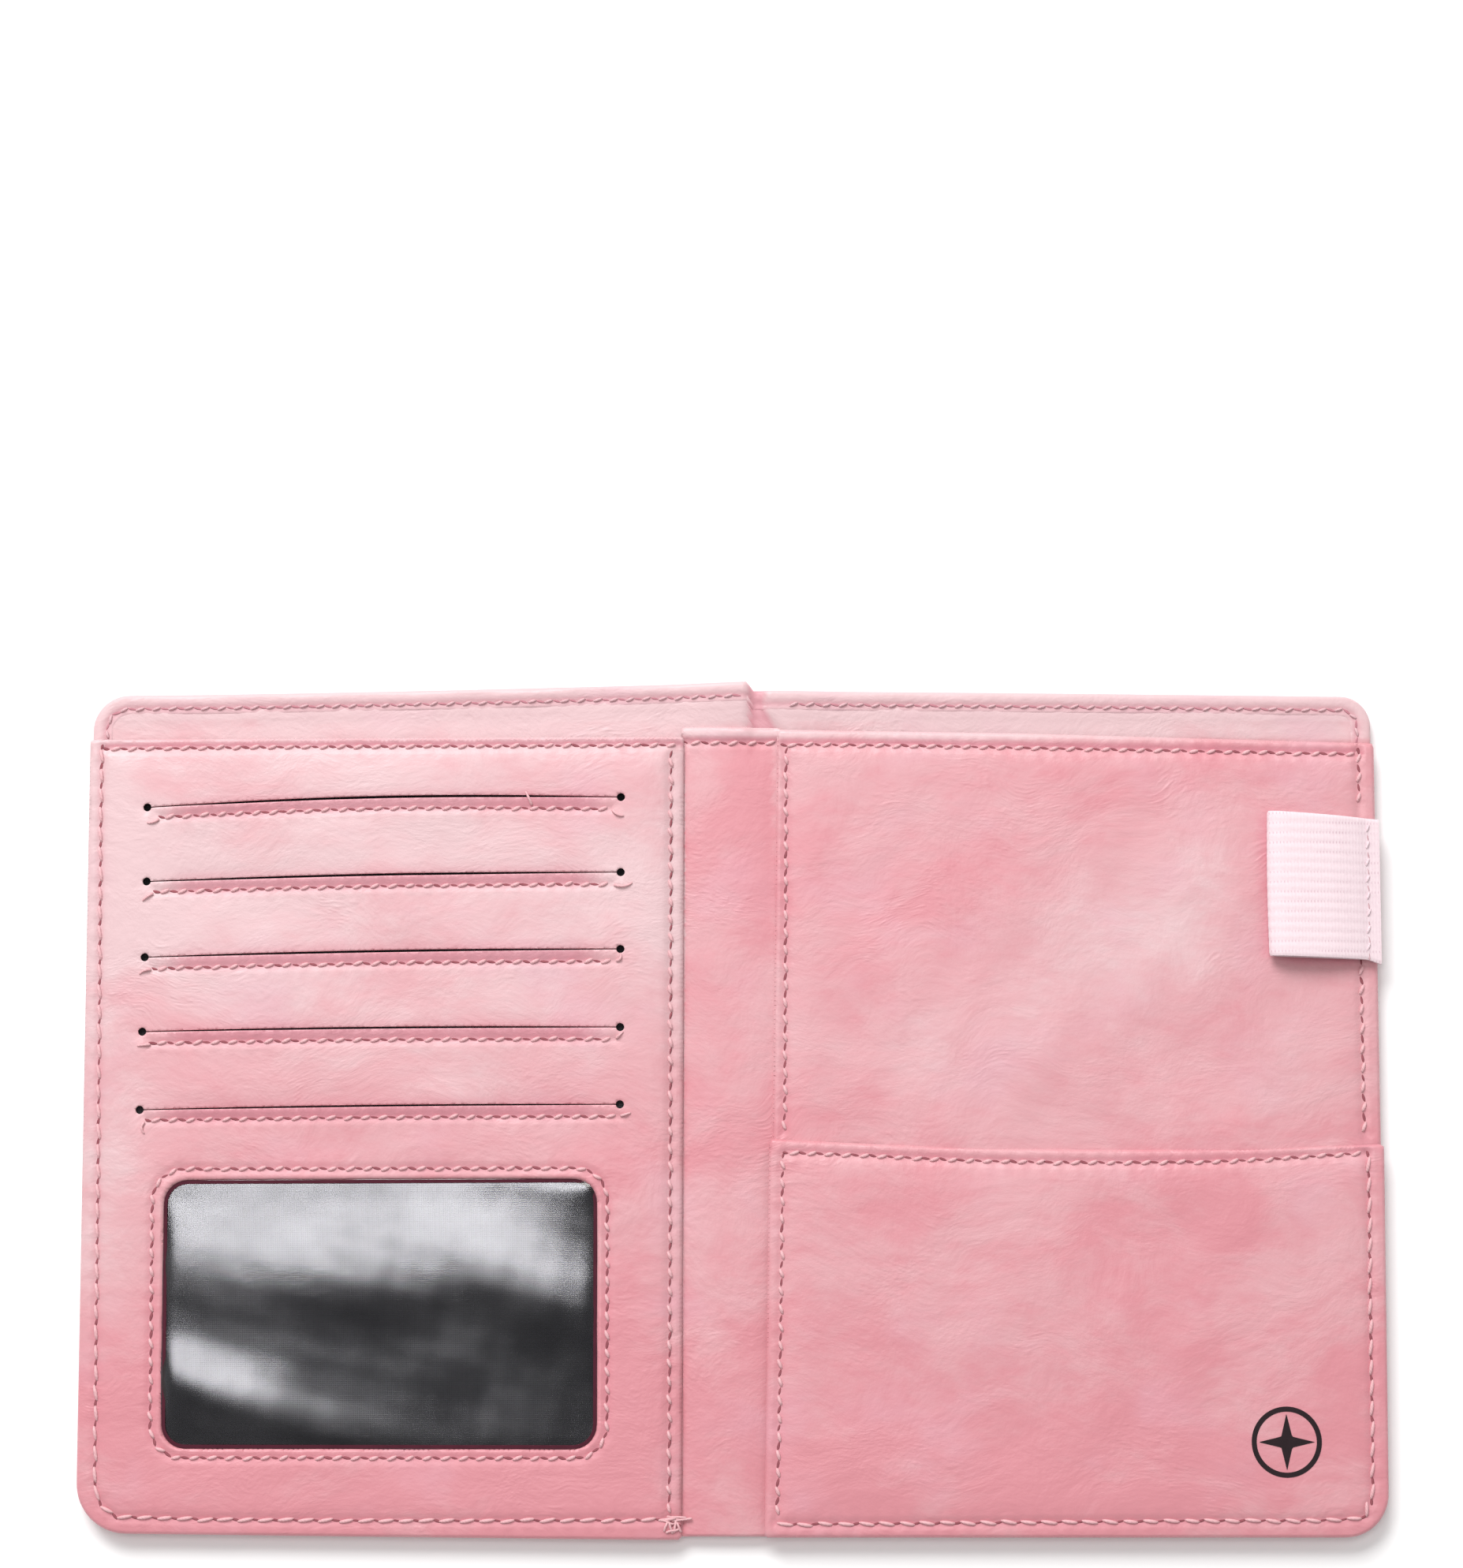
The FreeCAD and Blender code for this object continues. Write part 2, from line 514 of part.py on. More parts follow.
# ------------------------------------------------------------ all pieces
def build():
    os.makedirs("parts", exist_ok=True)
    export("outer_cover_left", outer_cover("left", LEFT_HALF_END_X))
    export("outer_cover_spine", outer_cover_spine())
    export("outer_cover_right", outer_cover("right", RIGHT_HALF_START_X))
    export("left_stiffener_board", stiffener_board("left", LEFT_HALF_END_X))
    export("right_stiffener_board", stiffener_board("right", RIGHT_HALF_START_X))
    export("cover_lining_left", cover_lining("left", LEFT_HALF_END_X))
    export("cover_lining_spine", cover_lining_spine())
    export("cover_lining_right", cover_lining("right", RIGHT_HALF_START_X))
    export("card_panel_backing", card_panel_backing())
    for index in range(SLIT_COUNT - 1):
        export("card_pocket_%d" % (index + 1), card_pocket(index))
    export("id_pocket", id_pocket())
    export("id_window_film", id_window_film())
    export("card_panel", card_panel())
    export("spine_strip", spine_strip())
    export("sleeve_backing", sleeve_backing())
    export("passport_panel", passport_panel())
    export("boarding_pass_pocket", boarding_pass_pocket())
    export("emblem", emblem())
    export("pen_loop", pen_loop())
    export("pen_loop_tab", pen_loop_tab())
    seams = {
        "perimeter_seam_left": perimeter_seam("left", LEFT_HALF_END_X),
        "perimeter_seam_right": perimeter_seam("right", RIGHT_HALF_START_X),
        "spine_seam": spine_seam(),
        "card_slit_seams": card_slit_seams(),
        "id_window_seam": id_window_seam(),
        "card_panel_top_seam": card_panel_top_seam(),
        "card_panel_edge_seam": card_panel_edge_seam(),
        "passport_panel_top_seam": passport_panel_top_seam(),
        "passport_panel_edge_seam": passport_panel_edge_seam(),
        "boarding_pocket_seam": boarding_pocket_seam(),
        "pen_loop_seam": pen_loop_seam(),
    }
    for name, row in seams.items():
        export(name, Part.makeCompound(row))


build()
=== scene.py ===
import math

import bmesh
import bpy
import numpy as np
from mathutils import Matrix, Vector, kdtree
from mathutils.geometry import delaunay_2d_cdt


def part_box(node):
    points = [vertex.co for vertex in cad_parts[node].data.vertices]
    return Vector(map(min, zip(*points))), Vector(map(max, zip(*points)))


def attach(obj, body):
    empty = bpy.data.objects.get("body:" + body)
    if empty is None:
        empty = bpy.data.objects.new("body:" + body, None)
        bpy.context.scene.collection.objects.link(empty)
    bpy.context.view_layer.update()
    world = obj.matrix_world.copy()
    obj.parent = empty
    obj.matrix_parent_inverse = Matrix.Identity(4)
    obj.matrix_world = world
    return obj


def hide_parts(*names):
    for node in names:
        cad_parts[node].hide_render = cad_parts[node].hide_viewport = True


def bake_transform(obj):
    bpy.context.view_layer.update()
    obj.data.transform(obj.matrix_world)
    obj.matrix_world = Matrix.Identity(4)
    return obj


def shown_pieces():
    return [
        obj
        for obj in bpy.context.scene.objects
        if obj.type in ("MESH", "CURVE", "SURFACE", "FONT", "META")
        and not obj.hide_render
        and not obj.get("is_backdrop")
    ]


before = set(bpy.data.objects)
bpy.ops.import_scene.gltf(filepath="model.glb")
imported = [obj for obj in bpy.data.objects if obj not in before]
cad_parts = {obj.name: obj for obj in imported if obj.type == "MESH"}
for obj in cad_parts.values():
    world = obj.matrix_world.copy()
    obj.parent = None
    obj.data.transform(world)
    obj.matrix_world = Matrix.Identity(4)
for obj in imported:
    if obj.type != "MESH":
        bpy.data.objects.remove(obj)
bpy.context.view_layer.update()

# A passport holder lying open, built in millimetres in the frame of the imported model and
# turned into metres when a mesh is made. X runs across both halves, Y up the page, Z up.
MM = 0.001
PITCH = 3.2                     # from one stitch to the next


def box_mm(node):
    low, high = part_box(node)
    return np.array(low) / MM, np.array(high) / MM


# ------------------------------------------------------------ places read from the frame
(LEFT_X, BOTTOM_Y, _), (left_cover_end, TOP_Y, _) = box_mm("outer_cover_left")
(right_cover_start, _, _), (RIGHT_X, _, _) = box_mm("outer_cover_right")
MID_SPINE_X = (left_cover_end + right_cover_start) / 2
(_, _, LINING_LOW_Z), (_, _, LINING_TOP_Z) = box_mm("cover_lining_left")
(_, _, CARD_UNDER_Z), (CARD_EDGE_X, PANEL_TOP_Y, CARD_FACE_Z) = box_mm("card_panel")
(PASSPORT_EDGE_X, _, STRIP_Z), (_, _, PASSPORT_FACE_Z) = box_mm("passport_panel")
_, (_, POCKET_TOP_Y, POCKET_FACE_Z) = box_mm("boarding_pass_pocket")
_, (_, STRIP_TOP_Y, _) = box_mm("spine_strip")
(FILM_X0, FILM_Y0, _), (FILM_X1, FILM_Y1, FILM_Z1) = box_mm("id_window_film")
(LOOP_X0, LOOP_Y0, LOOP_Z0), (_, LOOP_Y1, LOOP_Z1) = box_mm("pen_loop")
(EMBLEM_X0, EMBLEM_Y0, _), (EMBLEM_X1, EMBLEM_Y1, _) = box_mm("emblem")

TOP_LEFT_RADIUS = 6.6
TOP_RIGHT_RADIUS = 5.5
LOW_LEFT_RADIUS = 9.0
LOW_RIGHT_RADIUS = 7.8
SEAM_INSET = 2.8
OUTLINE_STEP = 0.85             # from point to point along the outline of a panel
# bodies on either side of each bend, and the x where the bend starts and ends
BENDS = {"right fold": ("right_half", "spine", 6.1, 1.2), "left fold": ("spine", "left_half", -4.4, -9.2),
         "loop root": ("right_half", "pen_loop", 116.3, 114.2)}


# ------------------------------------------------------------ curves and distances
def smooth(value, low, high):
    """0 below low, 1 above high, and a smooth step between."""
    t = np.clip((np.asarray(value, float) - low) / (high - low), 0.0, 1.0)
    return t * t * (3 - 2 * t)


def resample(points, spacing):
    """Evenly spaced points along an open polyline, both ends kept."""
    points = np.asarray(points, float)
    lengths = np.hypot(*np.diff(points, axis=0).T)
    along = np.concatenate([[0.0], np.cumsum(lengths)])
    count = max(2, int(round(along[-1] / spacing)) + 1)
    steps = np.linspace(0.0, along[-1], count)
    return np.stack([np.interp(steps, along, points[:, 0]), np.interp(steps, along, points[:, 1])], 1)


def curve_through(points, spacing=0.5):
    """Smooth open curve through a few points, evenly resampled."""
    points = np.asarray(points, float)
    if len(points) == 2:
        return resample(points, spacing)
    padded = np.vstack([2 * points[0] - points[1], points, 2 * points[-1] - points[-2]])
    pieces = []
    for i in range(1, len(padded) - 2):
        before, start, end, after = padded[i - 1:i + 3]
        t = np.linspace(0.0, 1.0, 24, endpoint=False)[:, None]
        pieces.append(0.5 * (2 * start + (end - before) * t
                             + (2 * before - 5 * start + 4 * end - after) * t ** 2
                             + (3 * start - before - 3 * end + after) * t ** 3))
    pieces.append(points[-1:])
    return resample(np.vstack(pieces), spacing)


def rounded_path(corners, radii, spacing=0.5):
    """Closed loop through corners, each rounded by its radius, anticlockwise, evenly resampled."""
    corners = np.asarray(corners, float)
    pieces = []
    for i in range(len(corners)):
        here = corners[i]
        to_last = corners[i - 1] - here
        to_next = corners[(i + 1) % len(corners)] - here
        to_last = to_last / np.linalg.norm(to_last)
        to_next = to_next / np.linalg.norm(to_next)
        if radii[i] <= 0:
            pieces.append(here[None])
            continue
        half = math.acos(np.clip(to_last @ to_next, -1, 1)) / 2
        bisector = (to_last + to_next) / np.linalg.norm(to_last + to_next)
        centre = here + bisector * radii[i] / math.sin(half)
        start = here + to_last * radii[i] / math.tan(half) - centre
        end = here + to_next * radii[i] / math.tan(half) - centre
        a0 = math.atan2(start[1], start[0])
        turn = (math.atan2(end[1], end[0]) - a0 + math.pi) % (2 * math.pi) - math.pi
        angles = a0 + turn * np.linspace(0.0, 1.0, 13)
        pieces.append(centre + radii[i] * np.stack([np.cos(angles), np.sin(angles)], 1))
    loop = np.vstack(pieces)
    return resample(np.vstack([loop, loop[:1]]), spacing)[:-1]


def bowed(start, end, bow, count=9):
    """Points of a line from start to end, raised by bow at its middle."""
    t = np.linspace(0.0, 1.0, count)[:, None]
    points = np.asarray(start) * (1 - t) + np.asarray(end) * t
    points[:, 1] += bow * np.sin(math.pi * t[:, 0])
    return points


def tangents(line, closed=False):
    if closed:
        step = np.roll(line, -1, axis=0) - np.roll(line, 1, axis=0)
    else:
        step = np.gradient(line, axis=0)
    return step / np.linalg.norm(step, axis=1)[:, None]


class Line:
    """A curve on a sheet that points can measure their distance to and their place along."""

    def __init__(self, points, closed=False, spacing=0.25):
        points = np.asarray(points, float)
        if closed:
            points = np.vstack([points, points[:1]])
        self.points = resample(points, spacing)
        self.closed = closed
        if closed:
            self.points = self.points[:-1]
        self.step = np.linalg.norm(self.points[1] - self.points[0])
        self.length = self.step * (len(self.points) - (0 if closed else 1))
        self.tangents = tangents(self.points, closed)
        self.tree = kdtree.KDTree(len(self.points))
        for i, (x, y) in enumerate(self.points):
            self.tree.insert((x, y, 0.0), i)
        self.tree.balance()

    def measure(self, where):
        """Signed distance (positive on the left of the curve) and place along it, for each point."""
        nearest = np.array([self.tree.find((x, y, 0.0))[1] for x, y in where])
        delta = where - self.points[nearest]
        tangent = self.tangents[nearest]
        along = (delta * tangent).sum(1)
        across = tangent[:, 0] * delta[:, 1] - tangent[:, 1] * delta[:, 0]
        beyond = 0.0
        if not self.closed:
            before = (nearest == 0) & (along < 0)
            after = (nearest == len(self.points) - 1) & (along > 0)
            beyond = np.where(before | after, along, 0.0)
        sign = np.where(across < 0, -1.0, 1.0)
        return sign * np.hypot(across, beyond), nearest * self.step + along

    def at(self, along):
        """Points and unit tangents at the given places along the curve."""
        index = np.asarray(along) / self.step
        if self.closed:
            index = index % len(self.points)
        low = np.clip(index.astype(int), 0, len(self.points) - 1)
        high = (low + 1) % len(self.points) if self.closed else np.minimum(low + 1, len(self.points) - 1)
        t = np.clip(index - low, 0.0, 1.0)[:, None]
        return self.points[low] * (1 - t) + self.points[high] * t, self.tangents[low]


def inside(points, loop):
    """Which points lie inside a closed loop."""
    x, y = points[:, 0], points[:, 1]
    found = np.zeros(len(points), bool)
    x0, y0 = loop[:, 0], loop[:, 1]
    x1, y1 = np.roll(x0, -1), np.roll(y0, -1)
    for a, b, c, d in zip(x0, y0, x1, y1):
        crosses = (b > y) != (d > y)
        if not crosses.any():
            continue
        cut = (c - a) * (y[crosses] - b) / (d - b) + a
        found[np.flatnonzero(crosses)[x[crosses] < cut]] ^= True
    return found


def swell(points, size, seed, octaves=3):
    """Soft undulation between about -1 and 1, made of seeded waves of roughly the given size."""
    draw = np.random.default_rng(seed)
    total = np.zeros(len(points))
    weight = 0.0
    for octave in range(octaves):
        share = 0.55 ** octave
        for _ in range(5):
            angle = draw.uniform(0, 2 * math.pi)
            length = size / 2 ** octave * draw.uniform(0.75, 1.35)
            phase = draw.uniform(0, 2 * math.pi)
            run = points[:, 0] * math.cos(angle) + points[:, 1] * math.sin(angle)
            total += share * np.sin(2 * math.pi * run / length + phase)
        weight += share * 5 ** 0.5
    return total / weight


# ------------------------------------------------------------ meshes
def mesh_object(name, points, faces, material, sharp_deg=None):
    """A Blender object from points in millimetres; each point also keeps its place at rest."""
    mesh = bpy.data.meshes.new(name)
    points = np.asarray(points, float) * MM
    mesh.from_pydata(points.tolist(), [], faces)
    mesh.materials.append(material)
    mesh.shade_smooth()
    if sharp_deg is not None:
        mesh.set_sharp_from_angle(angle=math.radians(sharp_deg))
    rest = mesh.attributes.new("rest", "FLOAT_VECTOR", "POINT")
    rest.data.foreach_set("vector", points.astype(np.float32).ravel())
    piece = bpy.data.objects.new(name, mesh)
    bpy.context.scene.collection.objects.link(piece)
    return piece


def add_values(piece, name, values):
    """Gives each point of a piece a number that its material can read."""
    attribute = piece.data.attributes.new(name, "FLOAT", "POINT")
    attribute.data.foreach_set("value", np.asarray(values, np.float32))


def flat_places(piece):
    """Where the points of a piece lie in the plane, in millimetres."""
    return np.array([v.co[:2] for v in piece.data.vertices]) / MM


def settle(piece, bodies, nodes=()):
    """Hides the CAD nodes that a piece stands for, and fixes it to one body; a piece that lies across a fold
    only gets its place baked into its points.
    """
    if nodes:
        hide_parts(*nodes)
    if bodies in BENDS:
        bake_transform(piece)
    else:
        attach(piece, bodies)


def level(z):
    """A flat height function."""
    return lambda where: np.full(len(where), z)


def grid_points(loops, spacing, margin, avoid=(), avoid_distance=0.0):
    """Staggered grid inside the first loop and outside the others, clear of every edge and line."""
    outer = loops[0]
    low, high = outer.min(0), outer.max(0)
    rows = np.arange(low[1], high[1], spacing * 0.87)
    points = []
    for i, y in enumerate(rows):
        xs = np.arange(low[0] + (i % 2) * spacing / 2, high[0], spacing)
        points.append(np.stack([xs, np.full(len(xs), y)], 1))
    points = np.vstack(points)
    keep = inside(points, outer)
    for hole in loops[1:]:
        keep &= ~inside(points, hole)
    points = points[keep]
    for loop in loops:
        distance, _ = Line(loop, closed=True).measure(points)
        points = points[np.abs(distance) > margin]
    for line in avoid:
        distance, _ = line.measure(points)
        points = points[np.abs(distance) > avoid_distance]
    return points


def rows_beside(line, offsets, spacing):
    """Points in rows along a line, at the given offsets to its left."""
    count = max(2, int(line.length / spacing))
    along = np.linspace(0.0, line.length, count, endpoint=not line.closed)
    middle, tangent = line.at(along)
    normal = np.stack([-tangent[:, 1], tangent[:, 0]], 1)
    return np.vstack([middle + normal * offset for offset in offsets])


def thin_out(points, least):
    """Drops points that share a small cell with an earlier one."""
    cells = np.floor(points / least).astype(int)
    _, first = np.unique(cells, axis=0, return_index=True)
    return points[np.sort(first)]


def triangulate(loops, extra):
    """Triangles over the first loop less the others; returns points, faces and the loops' indices."""
    points, edges, indices = [], [], []
    for loop in loops:
        start = len(points)
        count = len(loop)
        points.extend(map(tuple, loop))
        edges.extend((start + i, start + (i + 1) % count) for i in range(count))
        indices.append(list(range(start, start + count)))
    points.extend(map(tuple, extra))
    made, _, triangles, origin, _, _ = delaunay_2d_cdt([Vector(p) for p in points], edges, [], 1, 1e-5)
    flat = np.array([(p.x, p.y) for p in made])
    triangles = np.array(triangles)
    middle = flat[triangles].mean(1)
    keep = inside(middle, loops[0])
    for hole in loops[1:]:
        keep &= ~inside(middle, hole)
    back = {}
    for new, sources in enumerate(origin):
        for source in sources:
            back[source] = new
    indices = [[back[i] for i in loop] for loop in indices]
    return flat, triangles[keep], indices


def used_only(points, faces, indices):
    """The same triangles and loops without the points that none of them uses."""
    used = np.zeros(len(points), bool)
    used[faces.ravel()] = True
    for loop in indices:
        used[loop] = True
    new = np.cumsum(used) - 1
    return points[used], new[faces], [[int(new[i]) for i in loop] for loop in indices]


def sheet_solid(name, loops, inner_top, inner_bottom, top, bottom, material, sharp_deg=50, warp=None):
    """Closed solid between two height functions over a shape with holes."""
    flat_top, faces_top, rims_top = used_only(*triangulate(loops, inner_top))
    flat_bottom, faces_bottom, rims_bottom = used_only(*triangulate(loops, inner_bottom))
    points_top = np.column_stack([flat_top, top(flat_top)])
    points_bottom = np.column_stack([flat_bottom, bottom(flat_bottom)])
    if warp:
        points_top[:, :2] = warp(flat_top)
        points_bottom[:, :2] = warp(flat_bottom)
    shift = len(points_top)
    faces = faces_top.tolist() + (faces_bottom[:, ::-1] + shift).tolist()
    for k, (rim_top, rim_bottom) in enumerate(zip(rims_top, rims_bottom)):
        count = len(rim_top)
        anticlockwise = signed_area(loops[k]) > 0
        outwards = anticlockwise == (k == 0)
        for i in range(count):
            j = (i + 1) % count
            quad = [rim_bottom[i] + shift, rim_bottom[j] + shift, rim_top[j], rim_top[i]]
            faces.append(quad if outwards else quad[::-1])
    return mesh_object(name, np.vstack([points_top, points_bottom]), faces, material, sharp_deg)


def signed_area(loop):
    """Area inside a loop, positive when it runs anticlockwise."""
    x, y = loop[:, 0], loop[:, 1]
    return 0.5 * (x * np.roll(y, -1) - np.roll(x, -1) * y).sum()


def join_parts(parts):
    """One list of points and faces from several."""
    points, faces, shift = [], [], 0
    for part_points, part_faces in parts:
        points.append(part_points)
        faces.extend([[i + shift for i in face] for face in part_faces])
        shift += len(part_points)
    return np.vstack(points), faces


TUBE_SIDES = 6
TUBE_POINT = 0.6                # how far each end is drawn out, in radii


def tube(path, radii, flatten=1.0):
    """Closed round tube along a 3D path, its ends drawn to a point; flatten squeezes it in Z."""
    path = np.asarray(path, float)
    count, sides = len(path), TUBE_SIDES
    tangent = np.gradient(path, axis=0)
    tangent /= np.linalg.norm(tangent, axis=1)[:, None]
    side = np.cross(np.array([0.0, 0.0, 1.0]), tangent)
    side /= np.linalg.norm(side, axis=1)[:, None]
    up = np.cross(tangent, side)
    angles = 2 * math.pi * np.arange(sides) / sides
    ring = side[:, None] * np.cos(angles)[:, None] + flatten * up[:, None] * np.sin(angles)[:, None]
    points = (path[:, None] + ring * radii[:, None, None]).reshape(-1, 3)
    start = path[0] - tangent[0] * radii[0] * TUBE_POINT
    end = path[-1] + tangent[-1] * radii[-1] * TUBE_POINT
    points = np.vstack([points, start[None], end[None]])
    faces = []
    for i in range(count - 1):
        for j in range(sides):
            k = (j + 1) % sides
            faces.append([i * sides + j, i * sides + k, (i + 1) * sides + k, (i + 1) * sides + j])
    first, last = count * sides, count * sides + 1
    for j in range(sides):
        k = (j + 1) % sides
        faces.append([k, j, first])
        faces.append([(count - 1) * sides + j, (count - 1) * sides + k, last])
    return points, faces


# ------------------------------------------------------------ sewing
THREAD_RADIUS = 0.34
THREAD_SHARE = 0.50             # of the pitch that shows as thread, the rest is the needle hole
HOLE_LENGTH = 1.55
HOLE_WIDTH = 0.50


class Seam:
    """A row of stitches along a line on a sheet, with the groove that it pulls into the leather.

    Gaps are (axis, low, high): no stitch lies where that coordinate is between low and high.
    """

    def __init__(self, points, closed=False, depth=0.36, width=1.0, lean=1.0, gaps=(), pitch=PITCH, rope=1.0,
                 thick=1.0):
        self.line = Line(points, closed)
        self.count = max(1, int(round(self.line.length / pitch)))
        self.rope = rope                # above 1, the stitches are longer and lie straighter
        self.thick = thick
        self.pitch = self.line.length / self.count
        self.depth = depth
        self.width = width
        self.lean = lean
        self.gaps = gaps

    def groove(self, where):
        """How far the sheet is pulled down, and how far it puckers up, at each point."""
        distance, along = self.line.measure(where)
        phase = np.cos(2 * math.pi * along / self.pitch)
        across = np.abs(distance) / self.width
        trough = self.depth * np.exp(-1.4 * across ** 2) * (0.86 + 0.14 * phase)
        pucker = 0.10 * self.depth / 0.36 * np.exp(-((across - 1.15) / 0.45) ** 2) * (1 - phase) / 2
        return trough - pucker

    def stitches(self, height, seed, under=False):
        """Thread loops, and needle holes as dark marks of painted shade, lying on the sheet's height
        function.
        """
        draw = np.random.default_rng(seed)
        flip = -1.0 if under else 1.0
        threads, holes = [], []
        for i in range(self.count):
            along = (i + 0.5) * self.pitch
            middle, tangent = self.line.at([along])
            if any(low <= middle[0][axis] <= high for axis, low, high in self.gaps):
                continue
            middle, tangent = middle[0], tangent[0]
            threads.append(self.loop_of_thread(middle, tangent, height, flip, draw))
            holes.append(self.needle_hole_shade(along - self.pitch / 2, height, flip, draw))
        return threads, holes

    def loop_of_thread(self, middle, tangent, height, flip, draw):
        direction = turned(tangent, self.lean * draw.uniform(14.0, 26.0) / self.rope ** 2)
        t = np.linspace(-1.0, 1.0, 7)
        half = self.pitch * THREAD_SHARE * self.rope / 2 * draw.uniform(0.92, 1.08)
        spot = middle + draw.normal(0, 0.05, 2)
        flat = spot + direction * (t * half)[:, None]
        rise = THREAD_RADIUS * self.thick * (0.62 - 0.72 * t ** 4)
        z = height(flat).mean() + flip * rise
        radii = THREAD_RADIUS * self.thick * (1.0 - 0.45 * t ** 2)
        return tube(np.column_stack([flat, z]), radii)

    def needle_hole_shade(self, along, height, flip, draw):
        middle, tangent = self.line.at([along])
        middle, tangent = middle[0], tangent[0]
        direction = turned(tangent, -self.lean * draw.uniform(8.0, 22.0))
        t = np.linspace(-1.0, 1.0, 5)
        size = draw.uniform(0.82, 1.12)
        flat = middle + direction * (t * HOLE_LENGTH * size / 2)[:, None]
        z = height(flat).mean() + flip * np.full(5, 0.03)
        radii = HOLE_WIDTH * self.thick * size / 2 * np.sqrt(1.02 - t ** 2 * 0.86)
        return tube(np.column_stack([flat, z]), radii, flatten=0.22)


def turned(direction, degrees):
    """A flat direction turned anticlockwise."""
    c, s = math.cos(math.radians(degrees)), math.sin(math.radians(degrees))
    return np.array([direction[0] * c - direction[1] * s, direction[0] * s + direction[1] * c])


def thread_tail(start, heading_deg, length, height, seed):
    """A loose end of thread that curls on the sheet."""
    draw = np.random.default_rng(seed)
    t = np.linspace(0.0, 1.0, 9)
    heading = math.radians(heading_deg) + draw.uniform(-0.5, 0.5) + t * draw.uniform(-2.2, 2.2)
    steps = length / 8 * np.stack([np.cos(heading), np.sin(heading)], 1)
    flat = np.asarray(start) + np.cumsum(steps, axis=0)
    lift = 0.12 + 0.35 * np.sin(math.pi * t) * draw.uniform(0.4, 1.0)
    return tube(np.column_stack([flat, height(flat) + lift]), THREAD_RADIUS * (0.8 - 0.35 * t))


def sew(name, stitches, materials, bodies, *nodes):
    """One piece for a run of stitches: threads and needle holes, the holes dark marks of painted shade, each
    with its own material.
    """
    threads, holes = stitches
    thread_material, hole_shade_material = materials
    points, faces = join_parts(threads + holes)
    thread_faces = sum(len(part[1]) for part in threads)
    piece = mesh_object(name, points, faces, thread_material)
    piece.data.materials.append(hole_shade_material)
    which = np.zeros(len(faces), np.int32)
    which[thread_faces:] = 1
    piece.data.polygons.foreach_set("material_index", which)
    settle(piece, bodies, nodes)


# ------------------------------------------------------------ how the cover lies
PLEAT_X = 3.3                   # the left side of the cover ends here over a small valley
VALLEY_X = 5.8                  # the valley is this wide at the top edge
CORNER_STEPS = 12


def foot_shift(x):
    """How far the bottom edge of the left half rises towards its corner."""
    return 0.75 * (1 - smooth(x, LEFT_X, LEFT_X + 75.0))


def cover_warp(where):
    """Moves points of a true rectangle to where the cover's top edge really runs."""
    x, y = where[:, 0], where[:, 1]
    left = -0.6 + 2.5 * np.clip((x - LEFT_X) / 120.0, 0, 1.05) ** 1.4
    right = 0.3 - 1.1 * np.clip((x - 4.0) / 113.0, 0, 1) ** 1.3
    step = smooth(x, PLEAT_X - 0.35, PLEAT_X + 0.35)
    moved = where.copy()
    moved[:, 1] += (left * (1 - step) + right * step) * smooth(y, 40.0, 72.0)
    moved[:, 1] += foot_shift(x) * smooth(-y, 55.0, 74.0)
    return moved


def valley_end_x(y):
    """Where the valley ends on the right; it widens down the page."""
    return VALLEY_X + 0.75 * np.clip(72.9 - y, 0, 4)


def pleat(where):
    """How far the cover and what lies on it rise beside the pleat at the top of the spine."""
    x, y = where[:, 0], where[:, 1]
    hump = 1.35 * smooth(x, -13.0, 1.5) * (1 - smooth(x, PLEAT_X - 0.3, PLEAT_X + 0.3))
    valley_end = valley_end_x(y)
    shoulder = 0.75 * smooth(x, valley_end - 0.3, valley_end + 0.9) * (1 - smooth(x, 9.0, 24.0))
    return (hump + shoulder) * smooth(y, 62.0, 71.5)


def pleat_shade(where):
    """Painted shade: the little valley beside the pleat is coloured darker, for the shade that falls in it.
    """
    x, y = where[:, 0], where[:, 1]
    valley_end = valley_end_x(y)
    across = smooth(x, PLEAT_X - 0.5, PLEAT_X + 0.1) * (1 - smooth(x, valley_end - 0.2, valley_end + 0.6))
    return 0.85 * across * smooth(y, 63.0, 68.0)


def on_circle(cx, cy, radius, degrees):
    angles = np.radians(degrees)
    return np.stack([cx + radius * np.cos(angles), cy + radius * np.sin(angles)], -1)


def cover_ring(inset, side_step=0.72):
    """Points of the cover's outline drawn in by inset; every ring has the same count."""
    points = []
    across = int((RIGHT_X - LEFT_X) / side_step)
    up = int((TOP_Y - BOTTOM_Y) / side_step)
    sides = [(LEFT_X, 1, BOTTOM_Y, 1, LOW_LEFT_RADIUS, 180.0, across),
             (RIGHT_X, -1, BOTTOM_Y, 1, LOW_RIGHT_RADIUS, 270.0, up),
             (RIGHT_X, -1, TOP_Y, -1, TOP_RIGHT_RADIUS, 0.0, across),
             (LEFT_X, 1, TOP_Y, -1, TOP_LEFT_RADIUS, 90.0, up)]
    corners = [(x + right * radius, y + high * radius, radius, start, count)
               for x, right, y, high, radius, start, count in sides]
    for i, (cx, cy, radius, start, count) in enumerate(corners):
        turns = start + 90.0 * np.arange(CORNER_STEPS + 1) / CORNER_STEPS
        arc = on_circle(cx, cy, radius - inset, turns)
        points.append(arc[:-1])
        here = arc[-1]
        nx, ny, next_radius, next_start, _ = corners[(i + 1) % 4]
        there = on_circle(nx, ny, next_radius - inset, next_start)
        t = np.arange(count)[:, None] / count
        points.append(here * (1 - t) + there * t)
    return np.vstack(points)


def bend_columns(low_y, high_y):
    """Close columns of points where the cover bends at the two folds."""
    xs = np.concatenate([np.arange(-9.8, -3.4, 0.55), np.arange(0.4, 7.2, 0.55)])
    ys = np.arange(low_y, high_y, 2.4)
    return np.array([(x, y + 0.6 * (i % 2)) for i, x in enumerate(xs) for y in ys])


